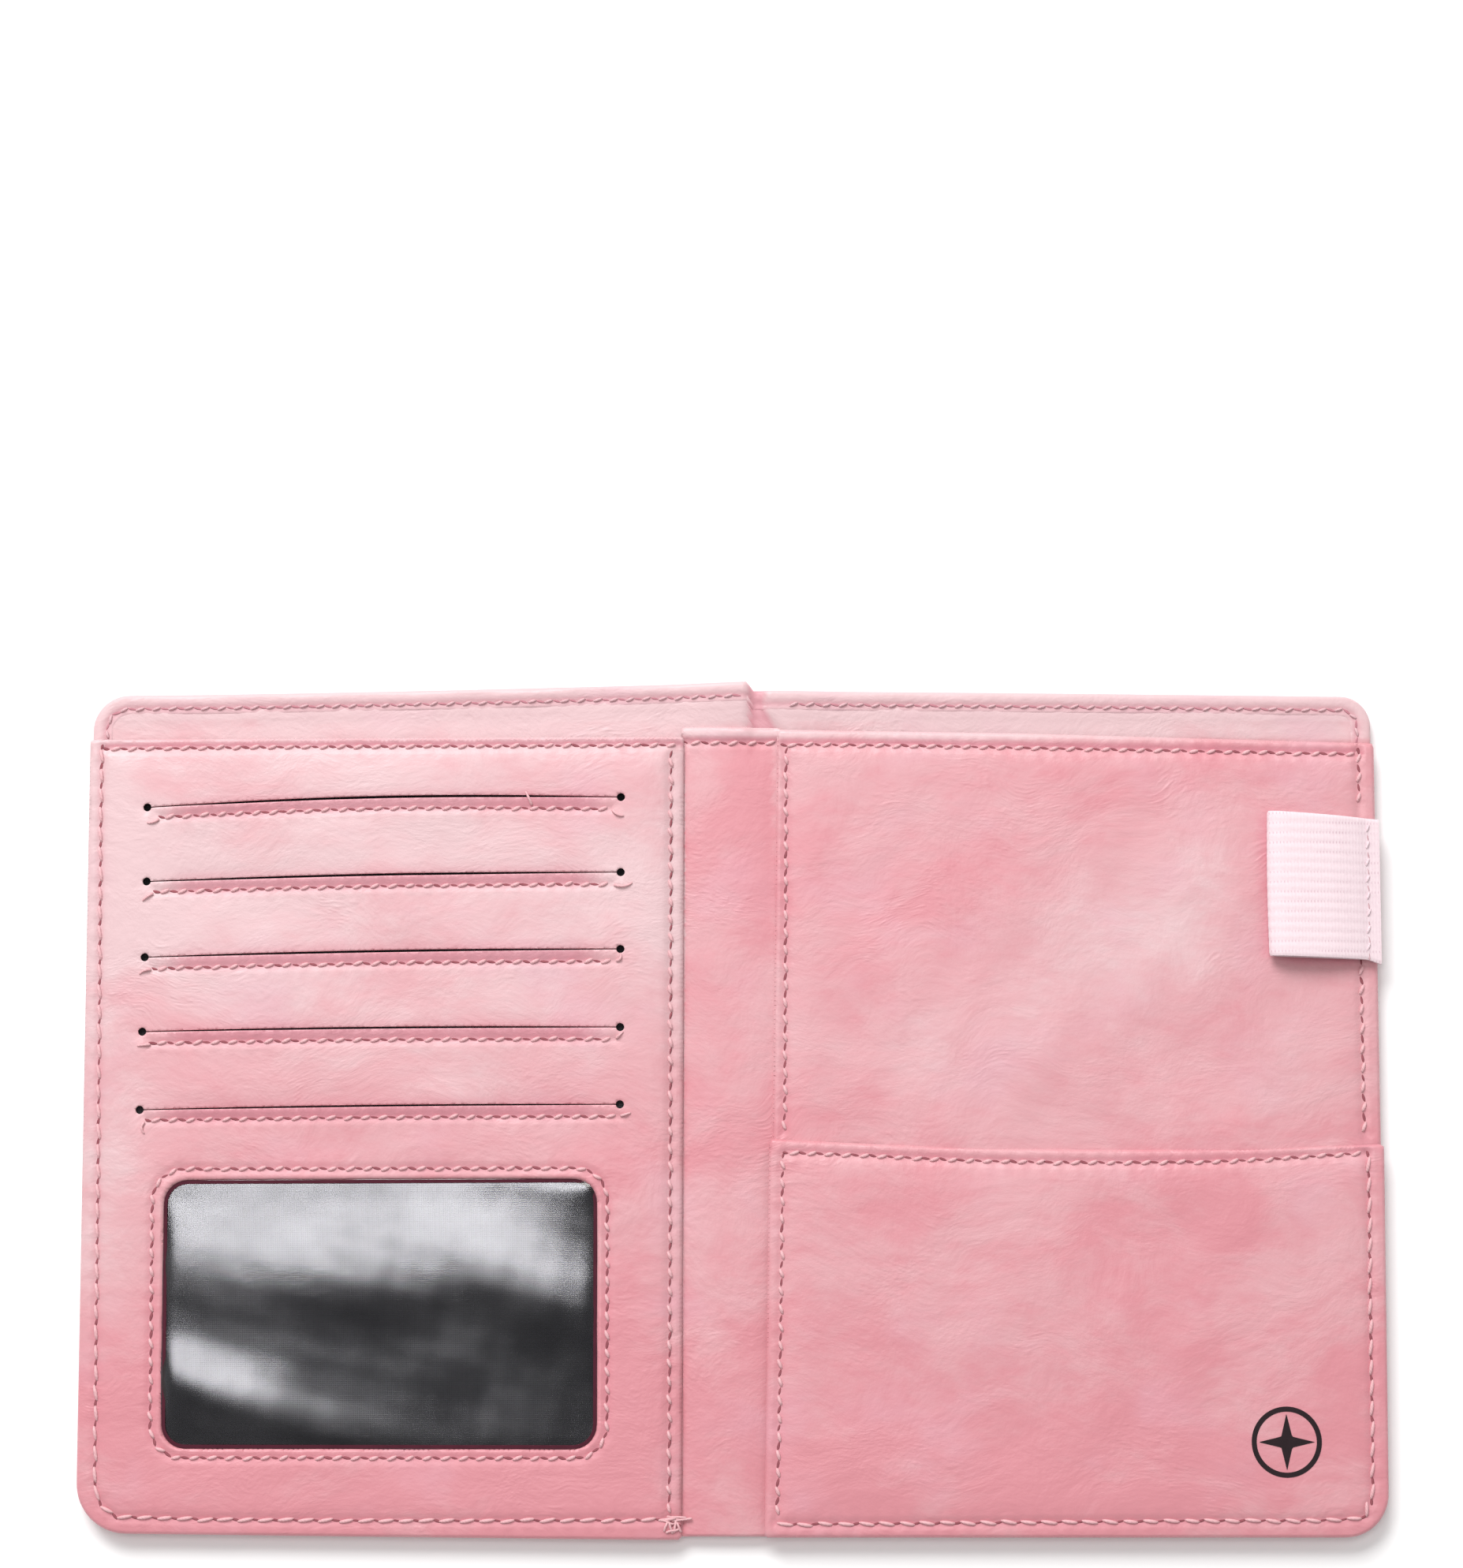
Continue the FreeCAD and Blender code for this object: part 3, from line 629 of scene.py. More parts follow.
LIP_PITCH = 3.0
LIP_SEAM_INSET = 2.6
LIP_SEAM_Z = 2.66
LIP_SEAM = Seam(cover_ring(LIP_SEAM_INSET), closed=True, depth=0.26, width=0.8, pitch=LIP_PITCH)
# section of the cover, from the groove outside, round the edge, to the hem inside:
# inset from the edge, height, and 1 where it is part of the sewn lip
COVER_PROFILE = [(3.5, 0.0, 0), (3.2, 0.06, 0), (3.0, 0.24, 0), (2.8, 0.34, 0), (2.6, 0.24, 0),
                 (2.4, 0.06, 0), (2.0, 0.0, 0), (1.2, 0.0, 0), (0.62, 0.03, 0), (0.28, 0.16, 0),
                 (0.07, 0.42, 0),
                 (0.0, 0.8, 0), (0.0, 1.4, 0), (0.0, 1.9, 0), (0.05, 2.22, 0), (0.2, 2.48, 0),
                 (0.45, 2.64, 0), (0.8, 2.72, 1), (1.2, 2.73, 1), (1.7, 2.7, 1), (2.1, 2.68, 1),
                 (2.45, 2.66, 1), (2.75, 2.63, 1), (3.0, 2.58, 1), (3.25, 2.50, 1), (3.5, 2.40, 1),
                 (3.7, 2.30, 0), (3.78, 2.24, 0), (3.7, 2.2, 0), (0.7, 2.2, 0), (0.7, 1.8, 0),
                 (5.0, 1.8, 0), (5.0, 0.8, 0)]


def lip_swell(flat):
    return 0.10 * swell(flat, 22.0, 3) - LIP_SEAM.groove(flat)


def cover_solid(material):
    """The whole cover: face, rounded turned edge, lip and the hem under the lining."""
    rings = []
    for inset, z, on_lip in COVER_PROFILE:
        flat = cover_ring(inset)
        height = np.full(len(flat), z)
        if on_lip:
            height = height + lip_swell(flat)
        rings.append(np.column_stack([flat, height]))
    count = len(rings[0])
    points = np.vstack(rings)
    faces = []
    for i in range(len(rings) - 1):
        for j in range(count):
            k = (j + 1) % count
            faces.append([i * count + j, i * count + k, (i + 1) * count + k, (i + 1) * count + j])
    caps = []
    for ring, step, outside in ((0, 2.6, True), (len(rings) - 1, 4.0, False)):
        loop = rings[ring][:, :2]
        extra = grid_points([loop], step, 1.2)
        x = extra[:, 0]
        extra = extra[(x < -10.2) | (x > 7.4) | ((x > -3.2) & (x < 0.2))]
        columns = bend_columns(loop[:, 1].min() + 1.2, loop[:, 1].max() - 1.2)
        flat, triangles, rims = used_only(*triangulate([loop], np.vstack([extra, columns])))
        rim = {index: i for i, index in enumerate(rims[0])}
        new = []
        inner = []
        for index, (x, y) in enumerate(flat):
            if index in rim:
                new.append(ring * count + rim[index])
            else:
                new.append(len(points) + len(inner))
                inner.append((x, y, rings[ring][0, 2]))
        points = np.vstack([points, np.array(inner)])
        for a, b, c in triangles:
            caps.append([new[c], new[b], new[a]] if outside else [new[a], new[b], new[c]])
    faces += caps
    points[:, 2] += pleat(points[:, :2])
    points[:, :2] = cover_warp(points[:, :2])
    where = points[:, :2].copy()
    piece = mesh_object("cover", points, faces, material, 60)
    # Painted shade in the lip seam's groove and in the pleat valley, on the inner side of the cover only.
    distance, _ = Line(cover_warp(LIP_SEAM.line.points), closed=True).measure(where)
    seam_shade = 0.55 * np.exp(-(distance / 0.8) ** 2)
    add_values(piece, "shade", np.maximum(seam_shade, pleat_shade(where)) * (points[:, 2] > 2.0))
    return piece


def cut_at_mid_spine(piece, name, keep_right):
    """A copy of a piece with only what lies on one side of the middle of the spine, closed again."""
    half = piece.copy()
    half.data = piece.data.copy()
    half.name = name
    bpy.context.scene.collection.objects.link(half)
    bm = bmesh.new()
    bm.from_mesh(half.data)
    geometry = bm.verts[:] + bm.edges[:] + bm.faces[:]
    cut = bmesh.ops.bisect_plane(bm, geom=geometry, plane_co=(MID_SPINE_X * MM, 0, 0), plane_no=(1, 0, 0),
                                 clear_inner=keep_right, clear_outer=not keep_right)
    edges = [e for e in cut["geom_cut"] if isinstance(e, bmesh.types.BMEdge)]
    filled = bmesh.ops.edgeloop_fill(bm, edges=edges)
    bmesh.ops.triangulate(bm, faces=filled["faces"])
    for face in bm.faces:
        face.smooth = True
    bm.to_mesh(half.data)
    bm.free()
    half.data.set_sharp_from_angle(angle=math.radians(60))
    return half


def make_cover(material):
    whole = cover_solid(material)
    left = cut_at_mid_spine(whole, "cover_left", False)
    right = cut_at_mid_spine(whole, "cover_right", True)
    bpy.data.objects.remove(whole)
    settle(left, "left fold", ("outer_cover_left", "outer_cover_spine"))
    settle(right, "right fold", ("outer_cover_right", "outer_cover_spine"))


def lining_top(where):
    """The lining comes up to the turned edge of the cover and sinks a little away from it."""
    inset = np.minimum.reduce([where[:, 0] - LEFT_X, RIGHT_X - where[:, 0], TOP_Y - where[:, 1]])
    full = 0.20 * np.exp(-((inset - 3.7) / 1.1) ** 2)
    return LINING_TOP_Z - 0.02 + pleat(where) + full + 0.06 * swell(where, 18.0, 8)


def lining_bottom(where):
    return LINING_LOW_Z + pleat(where)


LINING_INSET = 0.75
HIDDEN_BELOW_Y = 59.0           # the lining lies under the panels there, and its mesh is coarse


def lining_half(name, x0, x1, radii, material):
    low, high = BOTTOM_Y + LINING_INSET, TOP_Y - LINING_INSET
    radii = [max(radius - LINING_INSET, 0) for radius in radii]
    loop = rounded_path([(x0, low), (x1, low), (x1, high), (x0, high)], radii, 1.1)
    fine = grid_points([loop], 1.1, 0.6)
    fine = fine[fine[:, 1] > HIDDEN_BELOW_Y + 1.0]
    coarse = grid_points([loop], 4.0, 1.5)
    coarse = coarse[coarse[:, 1] < HIDDEN_BELOW_Y]
    columns = bend_columns(BOTTOM_Y + 2.0, HIDDEN_BELOW_Y)
    columns = columns[inside(columns, loop)]
    extra = thin_out(np.vstack([fine, columns, coarse]), 0.35)
    piece = sheet_solid(name, [loop], extra, extra, lining_top, lining_bottom, material, 50, cover_warp)
    # Painted shade in the pleat valley.
    add_values(piece, "shade", pleat_shade(flat_places(piece)))
    return piece


def make_lining(material):
    radii = (LOW_LEFT_RADIUS, 0, 0, TOP_LEFT_RADIUS)
    left = lining_half("lining_left", LEFT_X + LINING_INSET, MID_SPINE_X, radii, material)
    settle(left, "left fold", ("cover_lining_left", "cover_lining_spine"))
    radii = (0, LOW_RIGHT_RADIUS, TOP_RIGHT_RADIUS, 0)
    right = lining_half("lining_right", MID_SPINE_X, RIGHT_X - LINING_INSET, radii, material)
    settle(right, "right fold", ("cover_lining_right", "cover_lining_spine"))


def lip_height(where):
    """Top of the lip under points that are given where the cover really lies."""
    flat = where.copy()
    for _ in range(3):
        flat[:, 1] -= (cover_warp(flat) - where)[:, 1]
    return LIP_SEAM_Z + lip_swell(flat) + pleat(flat)


def under_height(where):
    return 0.5 + pleat(where)


def run_of(points, keep):
    """The run of a closed row of points that passes a test, in order."""
    good = keep(points)
    start = next(i for i in range(len(points)) if good[i] and not good[i - 1])
    order = np.roll(np.arange(len(points)), -start)
    run = []
    for i in order:
        if not good[i]:
            break
        run.append(points[i])
    return cover_warp(np.array(run))


def make_cover_stitches(sewing, lip_sewing):
    """The perimeter seam on the lip, seen above the panels, and the same seam outside."""
    ring = cover_ring(LIP_SEAM_INSET, 0.5)
    ring_under = cover_ring(SEAM_INSET, 0.5)
    runs = [("left", lambda p: (p[:, 1] > 67.6) & (p[:, 0] < 0.9), lambda p: p[:, 0] < MID_SPINE_X),
            ("right", lambda p: (p[:, 1] > 68.2) & (p[:, 0] > 9.6), lambda p: p[:, 0] > MID_SPINE_X)]
    for i, (side, on_lip, under) in enumerate(runs):
        place = (side + " fold", "perimeter_seam_" + side, "spine_seam")
        row = Seam(run_of(ring, on_lip), pitch=LIP_PITCH, thick=0.8).stitches(lip_height, 11 + i)
        sew("lip_stitches_" + side, row, lip_sewing, *place)
        row = Seam(run_of(ring_under, under)).stitches(under_height, 13 + i, under=True)
        sew("cover_stitches_" + side, row, sewing, *place)


# ------------------------------------------------------------ leather panels
SWELL_SIZE = 46.0
PANEL_GRID = 1.7
SEAM_ROWS = (-1.55, -1.0, -0.5, 0.0, 0.5, 1.0, 1.55)
TOP_SEAM = dict(depth=0.42, width=1.1)
SIDE_SEAM = dict(depth=0.32, width=0.95)
ROPE_SEAM = dict(pitch=3.6, rope=1.45)


class Panel:
    """A leather sheet with turned edges, holes and rows of stitches."""

    def __init__(self, outline, holes, seams, face_z, sheet_z, under_z, seed, swell_height=0.28,
                 edge_radius=0.65, squeeze=0.5):
        self.outline = Line(outline, closed=True, spacing=0.3)
        self.loops = [outline] + holes
        self.holes = [Line(hole, closed=True, spacing=0.15) for hole in holes]
        self.seams = seams
        self.face_z, self.sheet_z, self.under_z = face_z, sheet_z, under_z
        self.seed, self.swell_height = seed, swell_height
        self.edge_radius, self.squeeze = edge_radius, squeeze
        self.relief = []                # further height functions of this sheet
        self.shades = []                # painted shade: where the leather is coloured darker for the shade falling there
        self.hole_radius = [0.3] * len(holes)

    def edge_drop(self, distance, radius):
        """How far a rounded edge falls below the face."""
        t = np.clip(1 - distance / radius, 0, 1)
        return radius * (1 - np.sqrt(np.clip(1 - t ** 2, 0, 1)))

    def top(self, where):
        edge = np.abs(self.outline.measure(where)[0])
        calm = smooth(edge, 1.5, 16.0)
        z = self.face_z + self.swell_height * calm * swell(where, SWELL_SIZE, self.seed)
        z = z - self.edge_drop(edge, self.edge_radius) - self.squeeze * (1 - smooth(edge, 0.0, 7.0))
        for hole, radius in zip(self.holes, self.hole_radius):
            distance = np.abs(hole.measure(where)[0])
            z = z - self.edge_drop(distance, radius)
        for seam in self.seams:
            z = z - seam.groove(where)
        for relief in self.relief:
            z = z + relief(where)
        return z

    def bottom(self, where):
        edge = np.abs(self.outline.measure(where)[0])
        return self.sheet_z - (self.sheet_z - self.under_z) * (1 - smooth(edge, 4.2, 5.2))

    def points(self, extra):
        """Inner points: close beside edges and seams, a plain grid between them."""
        rows = []
        outline, holes = self.outline, self.holes
        rows.append(rows_beside(outline, (0.13, 0.36, 0.68, 1.15, 1.8), 0.85))
        for hole, radius in zip(holes, self.hole_radius):
            rows.append(rows_beside(hole, tuple(-radius * share for share in (0.35, 1.0, 2.4)), 0.8))
        for seam in self.seams:
            rows.append(rows_beside(seam.line, SEAM_ROWS, seam.pitch / 4))
        rows.extend(extra)
        near = np.vstack(rows)
        keep = inside(near, self.loops[0])
        for hole in self.loops[1:]:
            keep &= ~inside(near, hole)
        near = near[keep]
        near = near[np.abs(outline.measure(near)[0]) > 0.09]
        for hole, radius in zip(holes, self.hole_radius):
            near = near[np.abs(hole.measure(near)[0]) > 0.3 * radius]
        lines = [seam.line for seam in self.seams]
        far = grid_points(self.loops, PANEL_GRID, 1.9, lines, 1.9)
        return thin_out(np.vstack([near, far]), 0.2)

    def build(self, name, material, bodies, node, extra=()):
        coarse = grid_points(self.loops, 5.0, 1.5)
        ring = rows_beside(self.outline, (4.1, 5.3), 4.0)
        ring = ring[inside(ring, self.loops[0])]
        for hole in self.loops[1:]:
            ring = ring[~inside(ring, hole)]
            if len(ring):
                ring = ring[np.abs(Line(hole, closed=True).measure(ring)[0]) > 0.4]
        below = thin_out(np.vstack([ring, coarse]), 0.8)
        piece = sheet_solid(name, self.loops, self.points(extra), below, self.top, self.bottom, material)
        self.paint_shades(piece)
        settle(piece, bodies, (node,))
        return piece

    def paint_shades(self, piece):
        # Writes this sheet's painted shade as its shade value.
        where = flat_places(piece)
        values = np.zeros(len(where))
        for shade in self.shades:
            values = np.maximum(values, shade(where))
        add_values(piece, "shade", values)


def beside_seam(seam, offset, reach, strength):
    """A soft band of painted shade along a seam, at an offset to its left."""
    def shade(where):
        distance, _ = seam.line.measure(where)
        return strength * np.exp(-((distance - offset) / reach) ** 2)
    return shade


# ------------------------------------------------------------ card panel
SLITS = 5
SLIT_RIGHT_X = -20.3
SLIT_LEFT_X = (-106.9, -106.8, -106.9, -107.1, -107.3)
SLIT_LEFT_Y = (54.9, 41.3, 27.45, 13.9, -0.25)
SLIT_RISE = (1.9, 1.7, 1.5, 0.85, 1.0)
SLIT_BOW = (0.95, 0.4, 0.35, 0.3, 0.25)
SLIT_GAP = (0.21, 0.18, 0.17, 0.14, 0.12)
SLIT_HOLE_RADIUS = 0.75
SLIT_ROW_DROP = 2.2
WINDOW_CORNERS = [(-102.3, -60.7), (-24.3, -60.8), (-24.4, -12.7), (-102.6, -13.0)]
WINDOW_RADIUS = 4.2
WINDOW_SEAM_CORNERS = [(-104.4, -62.4), (-22.4, -62.5), (-22.5, -10.7), (-104.7, -10.9)]


def slit_line(i):
    start = (SLIT_LEFT_X[i], SLIT_LEFT_Y[i])
    end = (SLIT_RIGHT_X, SLIT_LEFT_Y[i] + SLIT_RISE[i])
    return bowed(start, end, SLIT_BOW[i], 17)


def keyhole(i):
    """Closed outline of one slit, with a punched hole at each end."""
    line = curve_through(slit_line(i), 1.5)
    normal = tangents(line)[:, ::-1] * (-1, 1)
    t = np.linspace(0, 1, len(line))
    half = (0.05 + SLIT_GAP[i] * np.sin(math.pi * t) ** 0.6)[:, None]
    reach = SLIT_HOLE_RADIUS
    middle = (np.abs(line[:, 0] - line[0, 0]) > reach) & (np.abs(line[:, 0] - line[-1, 0]) > reach)
    above = (line + normal * half)[middle]
    below = (line - normal * half)[middle]
    open_angle = 8.0
    angles = np.radians(np.linspace(open_angle, 360 - open_angle, 15))
    left = line[0] + reach * np.stack([np.cos(angles), np.sin(angles)], 1)
    right = line[-1] + reach * np.stack([np.cos(angles + math.pi), np.sin(angles + math.pi)], 1)
    return np.vstack([below, right, above[::-1], left])


def slit_row(i):
    """The row of stitches below one slit; the first starts a little lower than the slit's end."""
    start = (SLIT_LEFT_X[i] + (2.6, 1.7, 1.7, 2.0, 1.4)[i], SLIT_LEFT_Y[i] - (1.8, 1.9, 2.1, 2.1, 1.9)[i])
    end = (SLIT_RIGHT_X - (1.7, 1.6, 1.0, 0.9, 0.1)[i], SLIT_LEFT_Y[i] + SLIT_RISE[i] - SLIT_ROW_DROP)
    return Seam(bowed(start, end, SLIT_BOW[i] * 0.9), depth=0.34, width=0.85)


def slit_shade(i):
    """Painted shade: the lower lip of a slit, down to its stitches, is coloured darker than the leather round
    it, with a fainter band just above the slit.
    """
    line = Line(curve_through(slit_line(i), 0.5))

    def shade(where):
        distance, along = line.measure(where)
        ends = smooth(along, 1.0, 9.0) * (1 - smooth(along, line.length - 9.0, line.length - 1.0))
        below = smooth(-distance, 0.0, 0.3) * (1 - smooth(-distance, 1.9, 3.4))
        above = 0.35 * np.exp(-((distance - 0.6) / 0.9) ** 2) * (distance > 0)
        return ends * (0.85 * below + above)
    return shade


def card_outline():
    corners = [(LEFT_X, BOTTOM_Y + 0.75), (LEFT_X + 40.0, BOTTOM_Y + 0.25),
               (CARD_EDGE_X - 0.1, BOTTOM_Y - 0.5), (CARD_EDGE_X + 0.1, PANEL_TOP_Y + 0.1),
               (LEFT_X - 0.25, PANEL_TOP_Y - 0.5)]
    return rounded_path(corners, [LOW_LEFT_RADIUS, 60.0, 0.7, 0.5, 0.6], OUTLINE_STEP)


CARD_EDGE_SEAM = [(-115.5, 66.2), (-115.4, 50.0), (-114.8, 1.0), (-114.2, -60.0), (-114.05, -67.0),
                  (-113.1, -70.4), (-110.9, -72.2), (-107.6, -72.9), (-80.0, -73.4), (-40.0, -73.5),
                  (-9.6, -73.3)]
CARD_TOP_SEAM = [(-114.6, 65.7), (-80.0, 66.1), (-40.0, 66.3), (-9.6, 66.5)]
CARD_SIDE_SEAM = [(-11.2, 64.8), (-11.2, 0.0), (-11.3, -72.9)]


def slit_relief(line):
    """The lower lip of a slit stands a little proud, and the upper one lies down."""
    def height(where):
        distance, along = line.measure(where)
        within = smooth(along, 0.0, 8.0) * (1 - smooth(along, line.length - 8.0, line.length))
        below = 0.26 * np.exp(-(distance / 1.0) ** 2) * (distance < 0)
        above = -0.10 * np.exp(-(distance / 1.6) ** 2) * (distance >= 0)
        return within * (below + above)
    return height


def card_panel_shape():
    window = rounded_path(WINDOW_CORNERS, [WINDOW_RADIUS] * 4, 0.9)
    window_seam = rounded_path(WINDOW_SEAM_CORNERS, [WINDOW_RADIUS + 1.6] * 4, 0.5)
    seams = [Seam(curve_through(CARD_EDGE_SEAM), **ROPE_SEAM), Seam(curve_through(CARD_TOP_SEAM), **TOP_SEAM),
             Seam(curve_through(CARD_SIDE_SEAM), **SIDE_SEAM), Seam(window_seam, closed=True, depth=0.34)]
    seams += [slit_row(i) for i in range(SLITS)]
    panel = Panel(card_outline(), [window] + [keyhole(i) for i in range(SLITS)], seams,
                  CARD_FACE_Z, FILM_Z1 + 0.05, CARD_UNDER_Z, 21)
    panel.hole_radius = [0.7] + [0.16] * SLITS
    # Painted shade below the slits and along the top, edge and window seams.
    panel.shades = [slit_shade(i) for i in range(SLITS)]
    panel.shades.append(beside_seam(seams[1], 0.5, 0.62, 0.9))
    panel.shades.append(beside_seam(seams[0], 0.0, 0.6, 0.4))
    panel.shades.append(beside_seam(seams[3], 0.0, 0.6, 0.35))
    panel.relief = [slit_relief(Line(curve_through(slit_line(i), 0.5))) for i in range(SLITS)]
    panel.relief.append(lambda where: -0.6 * smooth(where[:, 0], CARD_EDGE_X - 4.0, CARD_EDGE_X))
    return panel


def make_card_panel(leather, sewing):
    panel = card_panel_shape()
    slit_rows = []
    for i in range(SLITS):
        line = Line(curve_through(slit_line(i), 0.5))
        slit_rows.append(rows_beside(line, (-0.5, -0.95, 0.5, 1.0, 1.6), 0.9))
    piece = panel.build("card_panel_leather", leather, "left_half", "card_panel", slit_rows)
    width, length = CARD_EDGE_X - LEFT_X, PANEL_TOP_Y - BOTTOM_Y
    window = np.diff(np.array(WINDOW_CORNERS)[[0, 2]], axis=0)[0]
    (width * length - window.prod()) * MM ** 2
    rows = [("card_edge_stitches", "perimeter_seam_left"), ("card_top_stitches", "card_panel_top_seam"),
            ("card_side_stitches", "card_panel_edge_seam"), ("card_window_stitches", "id_window_seam")]
    for i, (name, node) in enumerate(rows):
        sew(name, panel.seams[i].stitches(panel.top, 31 + i), sewing, "left_half", node)
    slit_stitches(panel, sewing)
    back_tacks(panel, sewing)


# where the thread ends at the right of each slit row: heading in degrees and length
TAIL_HEADINGS = (-60.0, -35.0, -10.0, 15.0, 40.0)
TAIL_LENGTHS = (2.4, 3.4, 1.8, 1.6, 1.8)


def slit_stitches(panel, sewing):
    """The rows below the slits, with a loose end of thread at both ends of each."""
    threads, holes = [], []
    for i, seam in enumerate(panel.seams[-SLITS:]):
        more = seam.stitches(panel.top, 41 + i)
        threads += more[0]
        holes += more[1]
        first, last = seam.line.points[0], seam.line.points[-1]
        threads.append(thread_tail(first + (-0.3, -0.2), 200.0, 2.2, panel.top, 51 + i))
        right_end = last + (0.1, 0.1)
        threads.append(thread_tail(right_end, TAIL_HEADINGS[i], TAIL_LENGTHS[i], panel.top, 61 + i))
    threads.append(thread_tail((-36.5, 55.1), 125.0, 2.6, panel.top, 71))
    sew("card_slit_stitches", (threads, holes), sewing, "left_half", "card_slit_seams")


# strokes of the clump: x and y from its foot, heading in degrees, half length
TACK_STROKES = [(-0.9, 0.1, 6.0, 1.9), (0.4, 0.45, -9.0, 1.7), (1.3, 0.0, 8.0, 1.8), (-1.2, -0.4, -14.0, 1.2),
                (-1.5, -1.0, 74.0, 1.0), (-0.7, -1.3, 104.0, 1.1), (0.1, -1.2, 80.0, 1.0),
                (0.8, -1.3, 118.0, 0.9), (-0.3, -1.9, 12.0, 1.2)]


def back_tacks(panel, sewing):
    """The seam ends in a clump of stitches sewn back over each other at the foot of the spine."""
    draw = np.random.default_rng(81)
    threads, holes = [], []
    foot = np.array([CARD_EDGE_X - 1.4, BOTTOM_Y + 3.1])
    for i, (dx, dy, degrees, half) in enumerate(TACK_STROKES):
        angle = math.radians(degrees + draw.uniform(-6, 6))
        t = np.linspace(-1, 1, 7)[:, None]
        flat = foot + (dx, dy) + half * t * (math.cos(angle), math.sin(angle))
        flat[:, 1] += 0.15 * np.sin(math.pi * t[:, 0]) * draw.uniform(-1, 1)
        on_panel = flat[:, 0] < CARD_EDGE_X - 0.15
        raised = panel.top(flat) + 0.14 + 0.015 * i - 0.12 * t[:, 0] ** 4
        z = np.where(on_panel, raised, STRIP_Z + 0.5)
        threads.append(tube(np.column_stack([flat, z]), np.full(7, THREAD_RADIUS * 0.62)))
    # Dark marks of painted shade for the needle holes in the clump.
    for i in range(4):
        spot = foot + (draw.uniform(-1.4, 1.0), draw.uniform(-1.2, 0.6))
        flat = spot + np.linspace(-0.4, 0.4, 5)[:, None] * (0.8, 0.6)
        holes.append(tube(np.column_stack([flat, panel.top(flat) + 0.08]), np.full(5, 0.2), flatten=0.4))
    sew("back_tack_stitches", (threads, holes), sewing, "left_half")


# ------------------------------------------------------------ passport panel and boarding-pass pocket
def passport_outline():
    corners = [(PASSPORT_EDGE_X - 0.7, BOTTOM_Y + 0.3), (RIGHT_X, BOTTOM_Y),
               (RIGHT_X + 0.3, PANEL_TOP_Y - 1.1), (53.0, PANEL_TOP_Y + 0.75),
               (PASSPORT_EDGE_X + 1.2, PANEL_TOP_Y + 1.45)]
    return rounded_path(corners, [0.6, LOW_RIGHT_RADIUS, 0.6, 0, 0.7], OUTLINE_STEP)


def pocket_top_edge(x):
    return POCKET_TOP_Y - 0.6 + 1.9 * ((x - 72.0) / 64.0) ** 2


def pocket_outline():
    xs = np.linspace(RIGHT_X + 0.6, PASSPORT_EDGE_X - 0.35, 9)
    top = np.column_stack([xs, pocket_top_edge(xs)])
    top[0, 1] = POCKET_TOP_Y + 0.4
    corners = [(PASSPORT_EDGE_X - 1.25, BOTTOM_Y), (RIGHT_X + 0.1, BOTTOM_Y)] + [tuple(p) for p in top]
    return rounded_path(corners, [0.6, LOW_RIGHT_RADIUS, 0.7] + [0] * 7 + [0.7], OUTLINE_STEP)


PASSPORT_EDGE_SEAM = [(114.9, 65.8), (114.7, 40.0), (114.6, 1.0), (114.8, -5.0)]
PASSPORT_TOP_SEAM = [(9.4, 66.6), (30.0, 66.45), (53.0, 66.0), (90.0, 65.3), (115.0, 64.8)]
PASSPORT_SIDE_SEAM = [(9.95, 65.4), (9.8, 30.0), (9.6, 1.1), (9.35, -4.6)]
POCKET_EDGE_SEAM = [(115.1, -8.3), (115.1, -13.0), (114.9, -40.0), (114.7, -67.0), (113.6, -70.9),
                    (110.4, -73.2), (80.0, -73.5), (40.0, -73.9), (7.7, -74.1)]
POCKET_TOP_SEAM = [(9.6, -7.95), (24.0, -8.5), (45.0, -9.45), (68.0, -9.75), (92.0, -9.4), (114.6, -8.0)]
POCKET_SIDE_SEAM = [(9.2, -8.6), (8.8, -41.0), (8.1, -73.2)]


def shadow_beside_loop(where):
    """Painted shadow: beside the nose of the pen loop and under its lower edge, the leather is coloured
    darker.
    """
    x, y = where[:, 0], where[:, 1]
    along = smooth(y, LOOP_Y0 - 0.5, LOOP_Y0 + 1.5) * (1 - smooth(y, LOOP_Y1 - 0.5, LOOP_Y1 + 1.5))
    left = 0.6 * np.exp(-((x - LOOP_X0 - 0.2) / 1.1) ** 2) * along
    foot = np.exp(-((y - LOOP_Y0 - 0.2) / 0.9) ** 2) * smooth(x, LOOP_X0, LOOP_X0 + 5.0)
    foot *= x < RIGHT_X - 3.0
    return np.maximum(left, foot)


def passport_panel_shape():
    behind_loop = (1, LOOP_Y0 - 0.9, LOOP_Y1 + 0.2)
    seams = [Seam(curve_through(PASSPORT_EDGE_SEAM), lean=-1.0, pitch=3.6, gaps=(behind_loop,)),
             Seam(curve_through(PASSPORT_TOP_SEAM), **TOP_SEAM),
             Seam(curve_through(PASSPORT_SIDE_SEAM), **SIDE_SEAM)]
    panel = Panel(passport_outline(), [], seams, PASSPORT_FACE_Z, PASSPORT_FACE_Z - 0.55, STRIP_Z + 0.12, 22,
                  swell_height=0.34)
    # Painted shade along the top and side seams, and painted shadow beside the pen loop.
    panel.shades = [beside_seam(seams[1], 0.5, 0.62, 0.9), beside_seam(seams[2], 0.0, 0.6, 0.35), shadow_beside_loop]
    return panel


def pocket_shape():
    seams = [Seam(curve_through(POCKET_EDGE_SEAM), lean=-1.0, **ROPE_SEAM),
             Seam(curve_through(POCKET_TOP_SEAM), depth=0.40, width=1.05),
             Seam(curve_through(POCKET_SIDE_SEAM), **SIDE_SEAM)]
    pocket = Panel(pocket_outline(), [], seams, POCKET_FACE_Z, POCKET_FACE_Z - 0.6, PASSPORT_FACE_Z - 0.1, 23,
                   swell_height=0.26)
    # Painted shade along the pocket's top and edge seams.
    pocket.shades = [beside_seam(seams[1], 0.45, 0.6, 0.5), beside_seam(seams[0], 0.0, 0.6, 0.4)]
    return pocket


